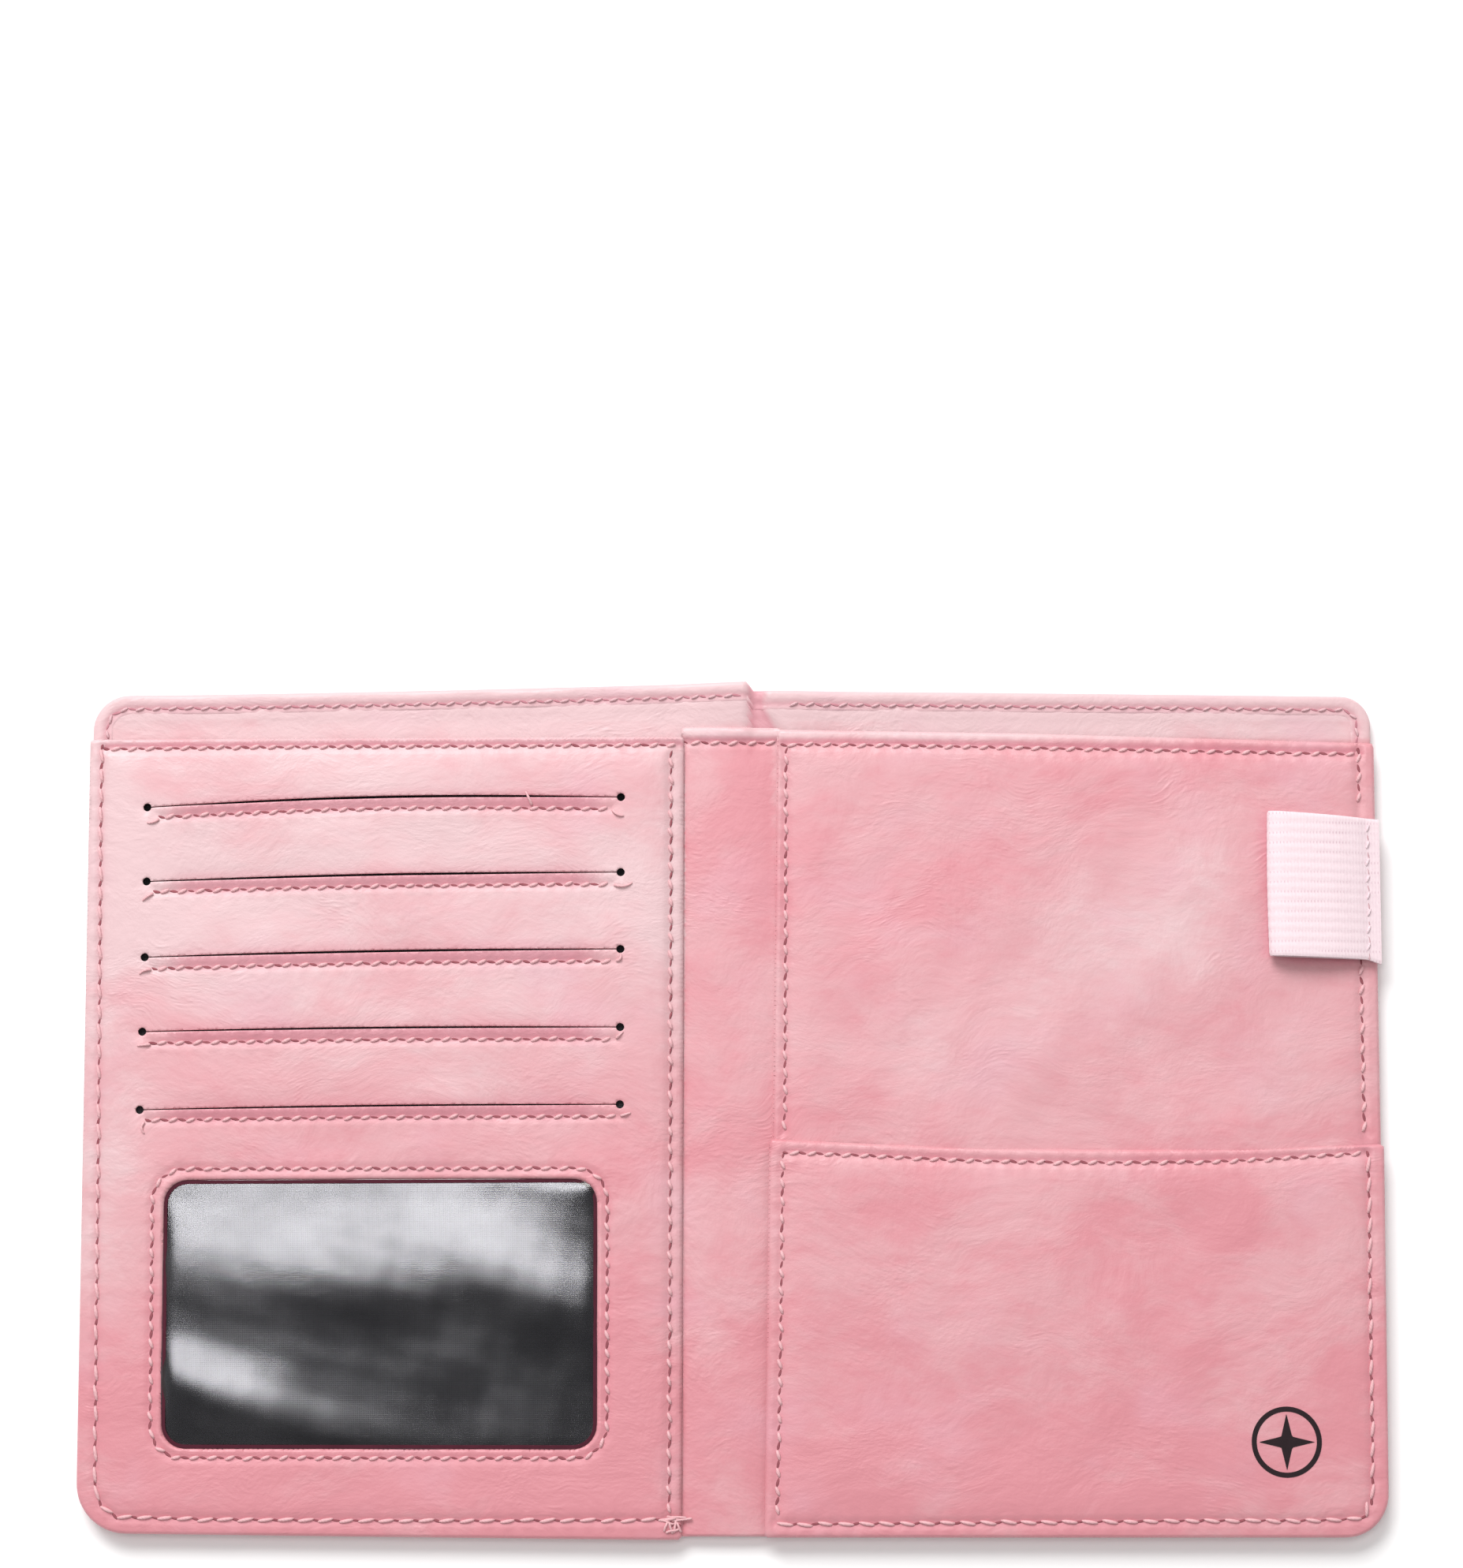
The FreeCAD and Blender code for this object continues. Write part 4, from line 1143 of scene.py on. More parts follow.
def make_passport_side(leather, sewing):
    """The passport panel and the boarding-pass pocket on it; returns the pocket for the print."""
    panel, pocket = passport_panel_shape(), pocket_shape()
    piece = panel.build("passport_panel_leather", leather, "right_half", "passport_panel")
    piece = pocket.build("boarding_pocket_leather", leather, "right_half", "boarding_pass_pocket")
    rows = [("passport_edge_stitches", panel, 0, "perimeter_seam_right"),
            ("passport_top_stitches", panel, 1, "passport_panel_top_seam"),
            ("passport_side_stitches", panel, 2, "passport_panel_edge_seam"),
            ("pocket_edge_stitches", pocket, 0, "perimeter_seam_right"),
            ("pocket_top_stitches", pocket, 1, "boarding_pocket_seam"),
            ("pocket_side_stitches", pocket, 2, "passport_panel_edge_seam")]
    for i, (name, sheet, which, node) in enumerate(rows):
        sew(name, sheet.seams[which].stitches(sheet.top, 101 + i), sewing, "right_half", node)
    return pocket


# ------------------------------------------------------------ strip over the spine and sleeve backing
STRIP_X0 = CARD_EDGE_X - 0.4
STRIP_HEM_END = 8.6


def strip_shape():
    corners = [(STRIP_X0, BOTTOM_Y + 0.15), (RIGHT_X - 0.3, BOTTOM_Y + 0.15),
               (RIGHT_X - 0.3, PANEL_TOP_Y - 2.0), (STRIP_HEM_END + 4.0, PANEL_TOP_Y - 1.2),
               (STRIP_HEM_END, STRIP_TOP_Y + 1.0),
               (STRIP_X0, STRIP_TOP_Y + 1.2)]
    outline = rounded_path(corners, [0.5, LOW_RIGHT_RADIUS, 0, 0, 0, 0.6], OUTLINE_STEP)
    seam = Seam(curve_through([(-8.4, 67.15), (0.0, 67.0), (8.8, 67.05)]), depth=0.34, width=0.95)
    panel = Panel(outline, [], [seam], STRIP_Z + 0.05, STRIP_Z - 0.42, STRIP_Z - 0.48, 24, swell_height=0.0,
                  edge_radius=0.42, squeeze=0.1)
    panel.relief = [strip_relief]
    # Painted shade just above the strip's seam.
    panel.shades = [beside_seam(seam, 0.5, 0.62, 0.85)]
    return panel


def strip_relief(where):
    x, y = where[:, 0], where[:, 1]
    across = np.clip((x - STRIP_X0) / (PASSPORT_EDGE_X - STRIP_X0), 0, 1)
    crown = 0.32 * np.sin(math.pi * across) ** 0.7 * (x < PASSPORT_EDGE_X)
    crown *= 1 - 0.8 * smooth(y, 62.0, 66.0)
    roll = 0.32 * np.exp(-((y - STRIP_TOP_Y + 0.1) / 1.3) ** 2) * (x < STRIP_HEM_END + 1)
    ripple = 0.10 * swell(where, 30.0, 25) * (x < PASSPORT_EDGE_X)
    tucked = -0.35 * np.clip(1 - (x - CARD_EDGE_X) / 0.9, 0, 1) ** 2 * (y < PANEL_TOP_Y)
    return crown + roll + ripple + tucked + 0.5 * pleat(where) - 0.18


def make_strip(leather, sewing):
    panel = strip_shape()
    columns = bend_columns(BOTTOM_Y + 2.0, PANEL_TOP_Y)
    columns = columns[inside(columns, panel.loops[0])]
    grid = grid_points(panel.loops, 2.6, 1.2)
    grid = grid[grid[:, 0] < 9.0]
    coarse = grid_points(panel.loops, 7.0, 2.0)
    coarse = coarse[coarse[:, 0] > 10.0]
    near = rows_beside(panel.outline, (0.1, 0.25, 0.5, 0.95, 1.5), 0.85)
    near = near[(near[:, 0] < 14.0) & inside(near, panel.loops[0])]
    beside = rows_beside(panel.seams[0].line, (-1.5, -0.95, -0.5, 0.0, 0.5, 0.95, 1.4), PITCH / 4)
    beside = beside[inside(beside, panel.loops[0])]
    rows = thin_out(np.vstack([near, beside, columns, grid, coarse]), 0.2)
    far = np.abs(panel.outline.measure(rows)[0]) > 0.08
    below = thin_out(np.vstack([columns, coarse]), 0.5)
    below = below[np.abs(panel.outline.measure(below)[0]) > 0.5]
    piece = sheet_solid("spine_strip_leather", panel.loops, rows[far], below, panel.top,
                        level(STRIP_Z - 0.45), leather)
    panel.paint_shades(piece)
    settle(piece, "right fold", ("spine_strip", "sleeve_backing"))
    sew("spine_stitches", panel.seams[0].stitches(panel.top, 121), sewing, "right fold", "spine_seam")


# ------------------------------------------------------------ clear film
FILM_REST_Z = 4.2
FILM_THICKNESS = 0.1
# places where the film bellies up (or down): x, y, reach across, reach along, heading, height
FILM_RIPPLES = [(-76.0, -28.5, 44.0, 10.0, -3.0, 0.62),
                (-58.0, -40.0, 52.0, 17.0, 0.0, 0.34),
                (-38.0, -31.5, 17.0, 7.0, -36.0, 0.60),
                (-67.0, -31.0, 5.0, 7.0, 0.0, 0.16),
                (-92.0, -51.8, 18.0, 6.0, -20.0, 0.74),
                (-25.0, -11.0, 10.0, 9.0, -35.0, 0.60)]


def film_height(where):
    z = np.full(len(where), FILM_REST_Z)
    for x, y, reach_across, reach_along, heading, height in FILM_RIPPLES:
        c, s = math.cos(math.radians(heading)), math.sin(math.radians(heading))
        dx, dy = where[:, 0] - x, where[:, 1] - y
        u = (dx * c + dy * s) / reach_across
        v = (-dx * s + dy * c) / reach_along
        z += height * np.exp(-u ** 2 - v ** 2)
    z += 0.05 * swell(where, 22.0, 26)
    return FILM_REST_Z - 0.05 + np.logaddexp(0, (z - FILM_REST_Z + 0.05) * 12.0) / 12.0


def make_film(material):
    low = np.array([FILM_X0, FILM_Y0]) + 0.4
    high = np.array([FILM_X1, FILM_Y1]) - 0.4
    loop = rounded_path([low, (high[0], low[1]), high, (low[0], high[1])], [1.5] * 4, 1.2)
    inner = grid_points([loop], 1.0, 0.6)
    edge = Line(loop, closed=True)

    def top(where):
        free = smooth(np.abs(edge.measure(where)[0]), 1.0, 6.0)
        return FILM_REST_Z + free * (film_height(where) - FILM_REST_Z)

    piece = sheet_solid("window_film", [loop], inner, inner, top, lambda p: top(p) - FILM_THICKNESS, material)
    settle(piece, "left_half", ("id_window_film",))


SHADOW_RING_WIDTH = 0.6


def make_window_shadow_ring(material):
    """Painted shadow: a narrow dark ring that shows as a line all round the window, standing in for the shade
    at its edge.
    """
    outer = rounded_path(WINDOW_CORNERS, [WINDOW_RADIUS] * 4, 0.9)
    middle = np.mean(WINDOW_CORNERS, axis=0)
    corners = WINDOW_CORNERS + SHADOW_RING_WIDTH * np.sign(middle - WINDOW_CORNERS)
    inner = rounded_path(corners, [WINDOW_RADIUS - SHADOW_RING_WIDTH] * 4, 0.9)
    nothing = np.empty((0, 2))
    piece = sheet_solid("window_shadow_ring", [outer, inner], nothing, nothing,
                        level(FILM_Z1 + 0.45), level(FILM_Z1 - 0.06), material)
    settle(piece, "left_half")


# ------------------------------------------------------------ elastic pen loop
STRAP_THICKNESS = 0.62
RIB_PITCH = 1.8
STRAP_END_X = RIGHT_X + 0.6
STRAP_ROWS = 105                # points across the strap


def strap_path():
    """Section of the folded elastic, from its upper end on the tab round the nose to its lower end."""
    low = LOOP_Z0 + STRAP_THICKNESS / 2 + 0.02
    high = LOOP_Z1 - STRAP_THICKNESS / 2
    points = [(STRAP_END_X, low + 0.45), (116.6, low + 0.62), (115.5, low + 0.85), (113.6, low + 1.6),
              (109.5, high - 0.35), (104.5, high), (100.4, high - 0.15), (LOOP_X0 + 1.25, high - 0.75),
              (LOOP_X0 + 0.42, low + 1.35), (LOOP_X0 + 1.2, low + 0.25), (101.5, low), (108.0, low),
              (114.6, low), (116.4, low - 0.02), (STRAP_END_X - 0.1, low - 0.12)]
    return curve_through(points, 0.55)


def strap_sides(x):
    """Lower and upper edge of the strap at x; it sits a little askew."""
    low = LOOP_Y0 + 0.35 - 0.038 * (x - LOOP_X0) - 0.30 * np.clip(x - 115.6, 0, 3)
    high = LOOP_Y1 + 0.6 - 0.074 * (x - LOOP_X0 - 1.0)
    return low, high


def strap_faces(count, rows):
    """Faces of a closed strap from its two skins of count x rows points each."""
    shift = count * rows
    faces = []
    for i in range(count - 1):
        for j in range(rows - 1):
            a, b, c, d = i * rows + j, i * rows + j + 1, (i + 1) * rows + j + 1, (i + 1) * rows + j
            faces.append([a, b, c, d])
            faces.append([d + shift, c + shift, b + shift, a + shift])
    last = (count - 1) * rows
    for j in range(rows - 1):
        faces.append([j + 1, j, j + shift, j + 1 + shift])
        faces.append([last + j, last + j + 1, last + j + 1 + shift, last + j + shift])
    for i in range(count - 1):
        a, b = i * rows, (i + 1) * rows
        faces.append([a, b, b + shift, a + shift])
        a, b = a + rows - 1, b + rows - 1
        faces.append([b, a, a + shift, b + shift])
    return faces


def strap_points(path):
    """Both skins of the strap, with its ribs and its thinner edges."""
    direction = tangents(path)
    normal = np.column_stack([-direction[:, 1], direction[:, 0]])
    share = np.linspace(0.0, 1.0, STRAP_ROWS)
    low, high = strap_sides(path[:, 0])
    y = low[:, None] * (1 - share) + high[:, None] * share
    edge = np.minimum(share, 1 - share) * (LOOP_Y1 - LOOP_Y0)
    ribs = 0.022 * np.cos(2 * math.pi * share * (LOOP_Y1 - LOOP_Y0) / RIB_PITCH) * smooth(edge, 0.8, 1.6)
    half = STRAP_THICKNESS / 2 * (0.45 + 0.55 * smooth(edge, 0.0, 0.45)) + ribs
    parts = []
    for side in (1.0, -1.0):
        offset = side * half[None, :, None] * normal[:, None, :]
        flat = path[:, None, :] + offset
        bulge = 0.2 * np.sin(math.pi * share) * (1 - smooth(flat[..., 0], LOOP_X0, LOOP_X0 + 6.0))
        parts.append(np.stack([flat[..., 0] - bulge, y, flat[..., 1]], -1).reshape(-1, 3))
    return np.vstack(parts)


def make_pen_loop(material, sewing):
    path = strap_path()
    faces = strap_faces(len(path), STRAP_ROWS)
    piece = mesh_object("elastic_pen_loop", strap_points(path), faces, material, 50)
    bm = bmesh.new()
    bm.from_mesh(piece.data)
    bmesh.ops.recalc_face_normals(bm, faces=bm.faces)
    bm.to_mesh(piece.data)
    bm.free()
    settle(piece, "loop root", ("pen_loop", "pen_loop_tab"))
    seam = Seam([(115.75, LOOP_Y0 + 0.4), (115.95, LOOP_Y1 - 1.0)], lean=-1.0, thick=0.7)
    face = LOOP_Z0 + STRAP_THICKNESS + 0.02 + 0.72
    sew("pen_loop_stitches", seam.stitches(level(face), 131), sewing, "right_half", "pen_loop_seam")


# ------------------------------------------------------------ printed mark
def make_emblem(pocket, material):
    """A plain ring and a four-pointed star, printed on the pocket."""
    centre = np.array([(EMBLEM_X0 + EMBLEM_X1) / 2, (EMBLEM_Y0 + EMBLEM_Y1) / 2])
    radius = (EMBLEM_X1 - EMBLEM_X0) / 2
    angles = np.linspace(0, 2 * math.pi, 96, endpoint=False)
    circle = np.stack([np.cos(angles), np.sin(angles)], 1)
    ring = [centre + radius * circle, centre + (radius - 0.9) * circle]
    corners = []
    for i in range(8):
        reach = radius * (0.8 if i % 2 == 0 else 0.22)
        turn = math.radians(45 * i)
        corners.append(centre + reach * np.array([math.cos(turn), math.sin(turn)]))
    star = [resample(np.vstack([corners, corners[:1]]), 0.4)[:-1]]

    def top(where):
        return pocket.top(where) + 0.07

    def bottom(where):
        return pocket.top(where) - 0.12

    for name, loops, nodes in (("mark_ring", ring, ("emblem",)), ("mark_star", star, ())):
        inner = grid_points(loops, 0.7, 0.2)
        piece = sheet_solid(name, loops, inner, inner, top, bottom, material, 50)
        settle(piece, "right_half", nodes)


BACKING_INSET = 1.6


def make_backing(cloth):
    """Cloth that closes the pouches off from the pocket behind, cut a little smaller than the panel."""
    (x0, y0, z0), (x1, y1, z1) = box_mm("card_panel_backing")
    x0, y0, x1, y1 = x0 + BACKING_INSET, y0 + BACKING_INSET, x1 - BACKING_INSET, y1 - BACKING_INSET
    corner = LOW_LEFT_RADIUS - BACKING_INSET
    loop = rounded_path([(x0, y0), (x1, y0), (x1, y1), (x0, y1)], [corner, 1, 1, 1], 2.0)
    inner = grid_points([loop], 4.0, 1.0)

    def top(where):
        return z1 - 0.03 + 0.02 * swell(where, 25.0, 27)

    piece = sheet_solid("pouch_backing", [loop], inner, inner, top, level(z0 + 0.02), cloth)
    settle(piece, "left_half", ("card_panel_backing",))


def dress_cad_nodes(board, cloth):
    """The boards and pouches keep their CAD shapes and get their real materials."""
    looks = {"left_stiffener_board": board, "right_stiffener_board": board, "id_pocket": cloth}
    for i in range(SLITS - 1):
        looks["card_pocket_%d" % (i + 1)] = cloth
    for name, material in looks.items():
        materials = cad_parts[name].data.materials
        materials.clear()
        materials.append(material)


# ------------------------------------------------------------ materials
class Shader:
    """A small helper to build one node material."""

    def __init__(self, name):
        self.material = bpy.data.materials.new(name)
        self.material.use_nodes = True
        self.tree = self.material.node_tree
        self.tree.nodes.clear()
        self.output = self.tree.nodes.new("ShaderNodeOutputMaterial")

    def node(self, kind, settings=None, **inputs):
        made = self.tree.nodes.new("ShaderNode" + kind)
        for key, value in (settings or {}).items():
            setattr(made, key, value)
        for key, value in inputs.items():
            self.give(made.inputs[key.replace("_", " ")], value)
        return made

    def give(self, socket, value):
        if isinstance(value, bpy.types.NodeSocket):
            self.tree.links.new(value, socket)
        else:
            socket.default_value = value

    def rest(self):
        """Place of each point at rest, so that a pattern doesn't slide when the piece bends."""
        return self.node("Attribute", {"attribute_name": "rest"}).outputs["Vector"]

    def place(self):
        return self.node("TexCoord").outputs["Object"]

    def scaled(self, vector, scale, turn=(0, 0, 0), shift=(0, 0, 0)):
        made = self.node("Mapping", Vector=vector)
        made.inputs["Scale"].default_value = scale
        made.inputs["Rotation"].default_value = turn
        made.inputs["Location"].default_value = shift
        return made.outputs["Vector"]

    def noise(self, vector, scale, detail=3.0, roughness=0.5, distortion=0.0):
        made = self.node("TexNoise", Vector=vector, Scale=scale, Detail=detail, Roughness=roughness,
                         Distortion=distortion)
        return made.outputs["Fac"]

    def spread(self, value, low, high, to_low=0.0, to_high=1.0):
        made = self.node("MapRange", {"interpolation_type": "SMOOTHSTEP"}, Value=value)
        for key, number in (("From Min", low), ("From Max", high), ("To Min", to_low), ("To Max", to_high)):
            made.inputs[key].default_value = number
        return made.outputs["Result"]

    def maths(self, operation, a, b=0.0):
        made = self.node("Math", {"operation": operation})
        self.give(made.inputs[0], a)
        self.give(made.inputs[1], b)
        return made.outputs[0]

    def blend(self, share, a, b, how="MIX"):
        made = self.node("Mix", {"data_type": "RGBA", "blend_type": how})
        self.give(made.inputs["Factor"], share)
        colours = [s for s in made.inputs if s.type == "RGBA"]
        self.give(colours[0], a)
        self.give(colours[1], b)
        return [s for s in made.outputs if s.type == "RGBA"][0]

    def bump(self, height, strength, distance, below=None):
        made = self.node("Bump", Height=height, Strength=strength, Distance=distance)
        if below is not None:
            self.give(made.inputs["Normal"], below)
        return made.outputs["Normal"]

    def finish(self, shader):
        self.tree.links.new(shader, self.output.inputs["Surface"])
        return self.material

    def surface(self, **inputs):
        """The finished material, from the inputs of one Principled shader."""
        return self.finish(self.node("BsdfPrincipled", **inputs).outputs["BSDF"])


LEATHER_DEEP = (0.622, 0.240, 0.276, 1)
LEATHER_BASE = (0.640, 0.325, 0.353, 1)
LEATHER_PALE = (0.665, 0.455, 0.473, 1)
LEATHER_BLUSH = (0.665, 0.370, 0.440, 1)
LEATHER_PAINTED_SHADE = (0.585, 0.205, 0.258, 1)


def leather(name, shift, rough=0.43):
    """Pull-up faux leather: cloudy pink, fine creases in patches, pores and a soft sheen, with painted light
    and painted shade read from its points.
    """
    s = Shader(name)
    rest = s.scaled(s.rest(), (1, 1, 1), shift=shift)
    # Painted light and the leather's own pale places, read per point and added to its clouds.
    tone_and_light = s.node("Attribute", {"attribute_name": "tone_and_light"}).outputs["Fac"]
    warp = s.node("TexNoise", Vector=rest, Scale=34.0, Detail=2.0)
    bent = s.node("VectorMath", {"operation": "MULTIPLY_ADD"})
    s.give(bent.inputs[0], warp.outputs["Color"])
    bent.inputs[1].default_value = (0.022, 0.022, 0.0)
    s.give(bent.inputs[2], rest)
    bent = bent.outputs[0]
    large = s.noise(s.scaled(bent, (24, 34, 24)), 1.0, 2.5, 0.5)
    small = s.noise(s.scaled(bent, (75, 120, 75)), 1.0, 4.0, 0.55)
    fine = s.noise(s.scaled(rest, (210, 420, 210)), 1.0, 3.0, 0.6)
    cloud = s.maths("ADD", s.maths("MULTIPLY", large, 1.2), s.maths("MULTIPLY", small, 0.8))
    cloud = s.maths("ADD", cloud, s.maths("MULTIPLY", fine, 0.4))
    cloud = s.maths("ADD", s.maths("SUBTRACT", cloud, 1.18), tone_and_light)
    colour = s.blend(s.spread(cloud, 0.0, 0.5), LEATHER_DEEP, LEATHER_BASE)
    colour = s.blend(s.spread(cloud, 0.4, 1.05), colour, LEATHER_PALE)
    blush = s.noise(s.scaled(rest, (52, 60, 52), shift=(3, 7, 1)), 1.0, 3.0)
    colour = s.blend(s.spread(blush, 0.52, 0.75, 0.0, 0.3), colour, LEATHER_BLUSH)
    # Painted shade: the leather is coloured darker by its shade value, in seam grooves, below the slits, in
    # the pleat valley and beside the pen loop.
    shade = s.node("Attribute", {"attribute_name": "shade"}).outputs["Fac"]
    colour = s.blend(s.maths("MULTIPLY", shade, 0.8), colour, LEATHER_PAINTED_SHADE)
    creases, patches = wrinkle_nodes(s, rest, bent)
    pores = s.noise(s.scaled(rest, (1500, 2100, 1500)), 1.0, 2.0, 0.6)
    pebble = s.noise(s.scaled(bent, (620, 900, 620)), 1.0, 3.0, 0.6)
    normal = s.bump(pores, 0.22, 0.00012)
    normal = s.bump(pebble, s.spread(small, 0.35, 0.65, 0.16, 0.42), 0.0003, normal)
    normal = s.bump(s.maths("MULTIPLY", creases, patches), 0.42, 0.00022, normal)
    soft = s.noise(s.scaled(bent, (160, 230, 160)), 1.0, 3.0, 0.5)
    normal = s.bump(soft, 0.35, 0.0006, normal)
    polish = s.maths("ADD", small, s.maths("MULTIPLY", fine, 0.4))
    shine = s.spread(polish, 0.45, 0.95, rough - 0.05, rough + 0.07)
    return s.surface(Base_Color=colour, Roughness=shine, Normal=normal, Specular_IOR_Level=0.5,
                     Sheen_Weight=0.12, Sheen_Roughness=0.5)


def wrinkle_nodes(s, rest, bent):
    """Thin curved creases that lie side by side, and the patches where they show."""
    swerve = s.noise(s.scaled(rest, (60, 60, 60), shift=(1, 2, 0)), 1.0, 2.0)
    turned = s.scaled(bent, (430, 1050, 430), turn=(0, 0, 0.16))
    moved = s.node("VectorMath", {"operation": "MULTIPLY_ADD"})
    s.give(moved.inputs[0], s.node("CombineXYZ", Y=swerve).outputs[0])
    moved.inputs[1].default_value = (0, 9.0, 0)
    s.give(moved.inputs[2], turned)
    lines = s.node("TexNoise", {"noise_type": "RIDGED_MULTIFRACTAL"}, Vector=moved.outputs[0], Scale=1.0,
                   Detail=2.0, Roughness=0.5)
    patches = s.spread(s.noise(s.scaled(rest, (45, 62, 45), shift=(5, 3, 2)), 1.0, 2.5), 0.47, 0.66)
    return lines.outputs["Fac"], patches


def thread_material(name, dark, light):
    s = Shader(name)
    rest = s.rest()
    colour = s.blend(s.noise(rest, 900.0, 2.0), dark, light)
    twist = s.node("TexWave", {"wave_type": "BANDS", "bands_direction": "DIAGONAL"}, Vector=rest, Scale=900.0,
                   Distortion=1.5)
    normal = s.bump(twist.outputs["Fac"], 0.4, 0.00008)
    return s.surface(Base_Color=colour, Roughness=0.55, Normal=normal, Sheen_Weight=0.3)


def hole_shade_material(name, dark, light):
    # Painted shade: the dark colour of a needle hole, for the shade that falls into it.
    s = Shader(name)
    colour = s.blend(s.noise(s.rest(), 700.0, 2.0), dark, light)
    return s.surface(Base_Color=colour, Roughness=0.8)


def weave(s, vector, threads_per_metre):
    """Height of a plain weave: two sets of threads that pass over and under each other."""
    turned = s.scaled(vector, (1, 1, 1), turn=(0, 0, math.radians(45)))
    split = s.node("SeparateXYZ", Vector=turned)
    across = s.maths("SINE", s.maths("MULTIPLY", split.outputs["X"], threads_per_metre * math.pi))
    along = s.maths("SINE", s.maths("MULTIPLY", split.outputs["Y"], threads_per_metre * math.pi))
    return s.spread(s.maths("MULTIPLY", across, along), -1.0, 1.0)


def black_cloth():
    s = Shader("black_cloth")
    place = s.place()
    height = weave(s, place, 4200.0)
    dust = s.noise(place, 60.0, 3.0)
    colour = s.blend(height, (0.004, 0.004, 0.005, 1), (0.030, 0.030, 0.034, 1))
    colour = s.blend(s.spread(dust, 0.4, 0.8, 0.0, 0.4), colour, (0.022, 0.022, 0.026, 1))
    normal = s.bump(height, 0.7, 0.00015)
    return s.surface(Base_Color=colour, Roughness=0.62, Normal=normal, Specular_IOR_Level=0.25)


def film_material():
    """Thin clear film, a little hazy, that mirrors the lights softly over what lies behind it."""
    s = Shader("window_film")
    rest = s.rest()
    haze = s.noise(s.scaled(rest, (60, 90, 60)), 1.0, 3.0)
    grain = weave(s, rest, 4200.0)
    normal = s.bump(grain, 0.10, 0.00006)
    rough = s.spread(haze, 0.3, 0.75, 0.15, 0.22)
    gloss = s.node("BsdfGlossy", Roughness=rough, Normal=normal)
    gloss.inputs["Color"].default_value = (1.0, 0.99, 0.955, 1)
    clear = s.node("BsdfTransparent")
    clear.inputs["Color"].default_value = (0.76, 0.76, 0.86, 1)
    facing = s.node("Fresnel", IOR=1.9)
    mix = s.node("MixShader")
    s.give(mix.inputs[0], facing.outputs["Fac"])
    s.give(mix.inputs[1], clear.outputs["BSDF"])
    s.give(mix.inputs[2], gloss.outputs["BSDF"])
    return s.finish(mix.outputs["Shader"])


def window_shadow_material():
    """Painted shadow: a dark wine colour for the ring round the window, standing in for the shade at its
    edge.
    """
    s = Shader("window_painted_shadow")
    colour = s.blend(s.noise(s.rest(), 400.0, 2.0), (0.045, 0.004, 0.012, 1), (0.085, 0.012, 0.026, 1))
    return s.surface(Base_Color=colour, Roughness=0.7, Specular_IOR_Level=0.2)


def elastic_material():
    s = Shader("pale_pink_elastic")
    rest = s.rest()
    split = s.node("SeparateXYZ", Vector=rest)
    ribs = s.maths("SINE", s.maths("MULTIPLY", split.outputs["Y"], 2 * math.pi / (RIB_PITCH * MM)))
    picks = s.maths("SINE", s.maths("MULTIPLY", split.outputs["X"], 2 * math.pi / (0.60 * MM)))
    dots = s.maths("MULTIPLY", s.spread(ribs, -1.0, -0.5, 1.0, 0.0), s.spread(picks, 0.2, 0.9))
    fuzz = s.noise(rest, 1600.0, 2.0)
    patch = s.noise(rest, 110.0, 2.0)
    colour = s.blend(fuzz, (0.75, 0.58, 0.625, 1), (0.82, 0.68, 0.715, 1))
    shown = s.maths("MULTIPLY", dots, s.spread(patch, 0.35, 0.65, 0.15, 0.75))
    colour = s.blend(shown, colour, (0.58, 0.38, 0.44, 1))
    knit = s.maths("ADD", s.maths("MULTIPLY", picks, 0.25), s.maths("MULTIPLY", ribs, 0.3))
    normal = s.bump(s.maths("ADD", knit, s.maths("MULTIPLY", fuzz, 0.6)), 0.35, 0.0001)
    return s.surface(Base_Color=colour, Roughness=0.72, Normal=normal, Sheen_Weight=0.25)


def print_material():
    s = Shader("dark_print")
    rest = s.rest()
    colour = s.blend(s.noise(rest, 500.0, 3.0), (0.006, 0.003, 0.004, 1), (0.024, 0.010, 0.014, 1))
    normal = s.bump(s.noise(rest, 1500.0, 2.0), 0.2, 0.0001)
    return s.surface(Base_Color=colour, Roughness=0.6, Normal=normal, Specular_IOR_Level=0.25)


def board_material():
    s = Shader("grey_board")
    place = s.place()
    fibres = s.noise(s.scaled(place, (350, 900, 350)), 1.0, 4.0, 0.65)
    flecks = s.spread(s.noise(place, 1300.0, 2.0), 0.62, 0.72)
    colour = s.blend(fibres, (0.30, 0.27, 0.23, 1), (0.46, 0.42, 0.36, 1))
    colour = s.blend(flecks, colour, (0.20, 0.18, 0.15, 1))
    normal = s.bump(fibres, 0.4, 0.0002)
    return s.surface(Base_Color=colour, Roughness=0.9, Normal=normal)


def floor_material():
    s = Shader("white_floor")
    faint = s.noise(s.place(), 8.0, 2.0)
    colour = s.blend(faint, (0.965, 0.965, 0.965, 1), (0.975, 0.975, 0.975, 1))
    return s.surface(Base_Color=colour, Roughness=0.9, Specular_IOR_Level=0.0)


# ------------------------------------------------------------ lighter and darker places in the leather, partly its own colour and partly painted light
# x, y, reach along, reach across, heading in degrees, strength
# Partly pull-up patches of the leather's own colour, partly painted highlights where the light catches its
# folds.
TONE_AND_HIGHLIGHT_PATCHES = [(88.0, -6.0, 26.0, 9.0, 0.0, 0.10), (50.0, 26.0, 16.0, 8.0, 20.0, 0.10),
                (60.0, 20.0, 40.0, 13.0, 28.0, 0.44), (84.0, 44.0, 24.0, 12.0, 35.0, 0.22),
                (90.0, 3.0, 26.0, 6.0, 5.0, 0.24), (29.0, -17.0, 20.0, 8.0, 0.0, -0.22),
                (14.0, 60.0, 18.0, 7.0, 20.0, 0.30), (104.0, 10.0, 20.0, 8.0, 15.0, 0.12)]


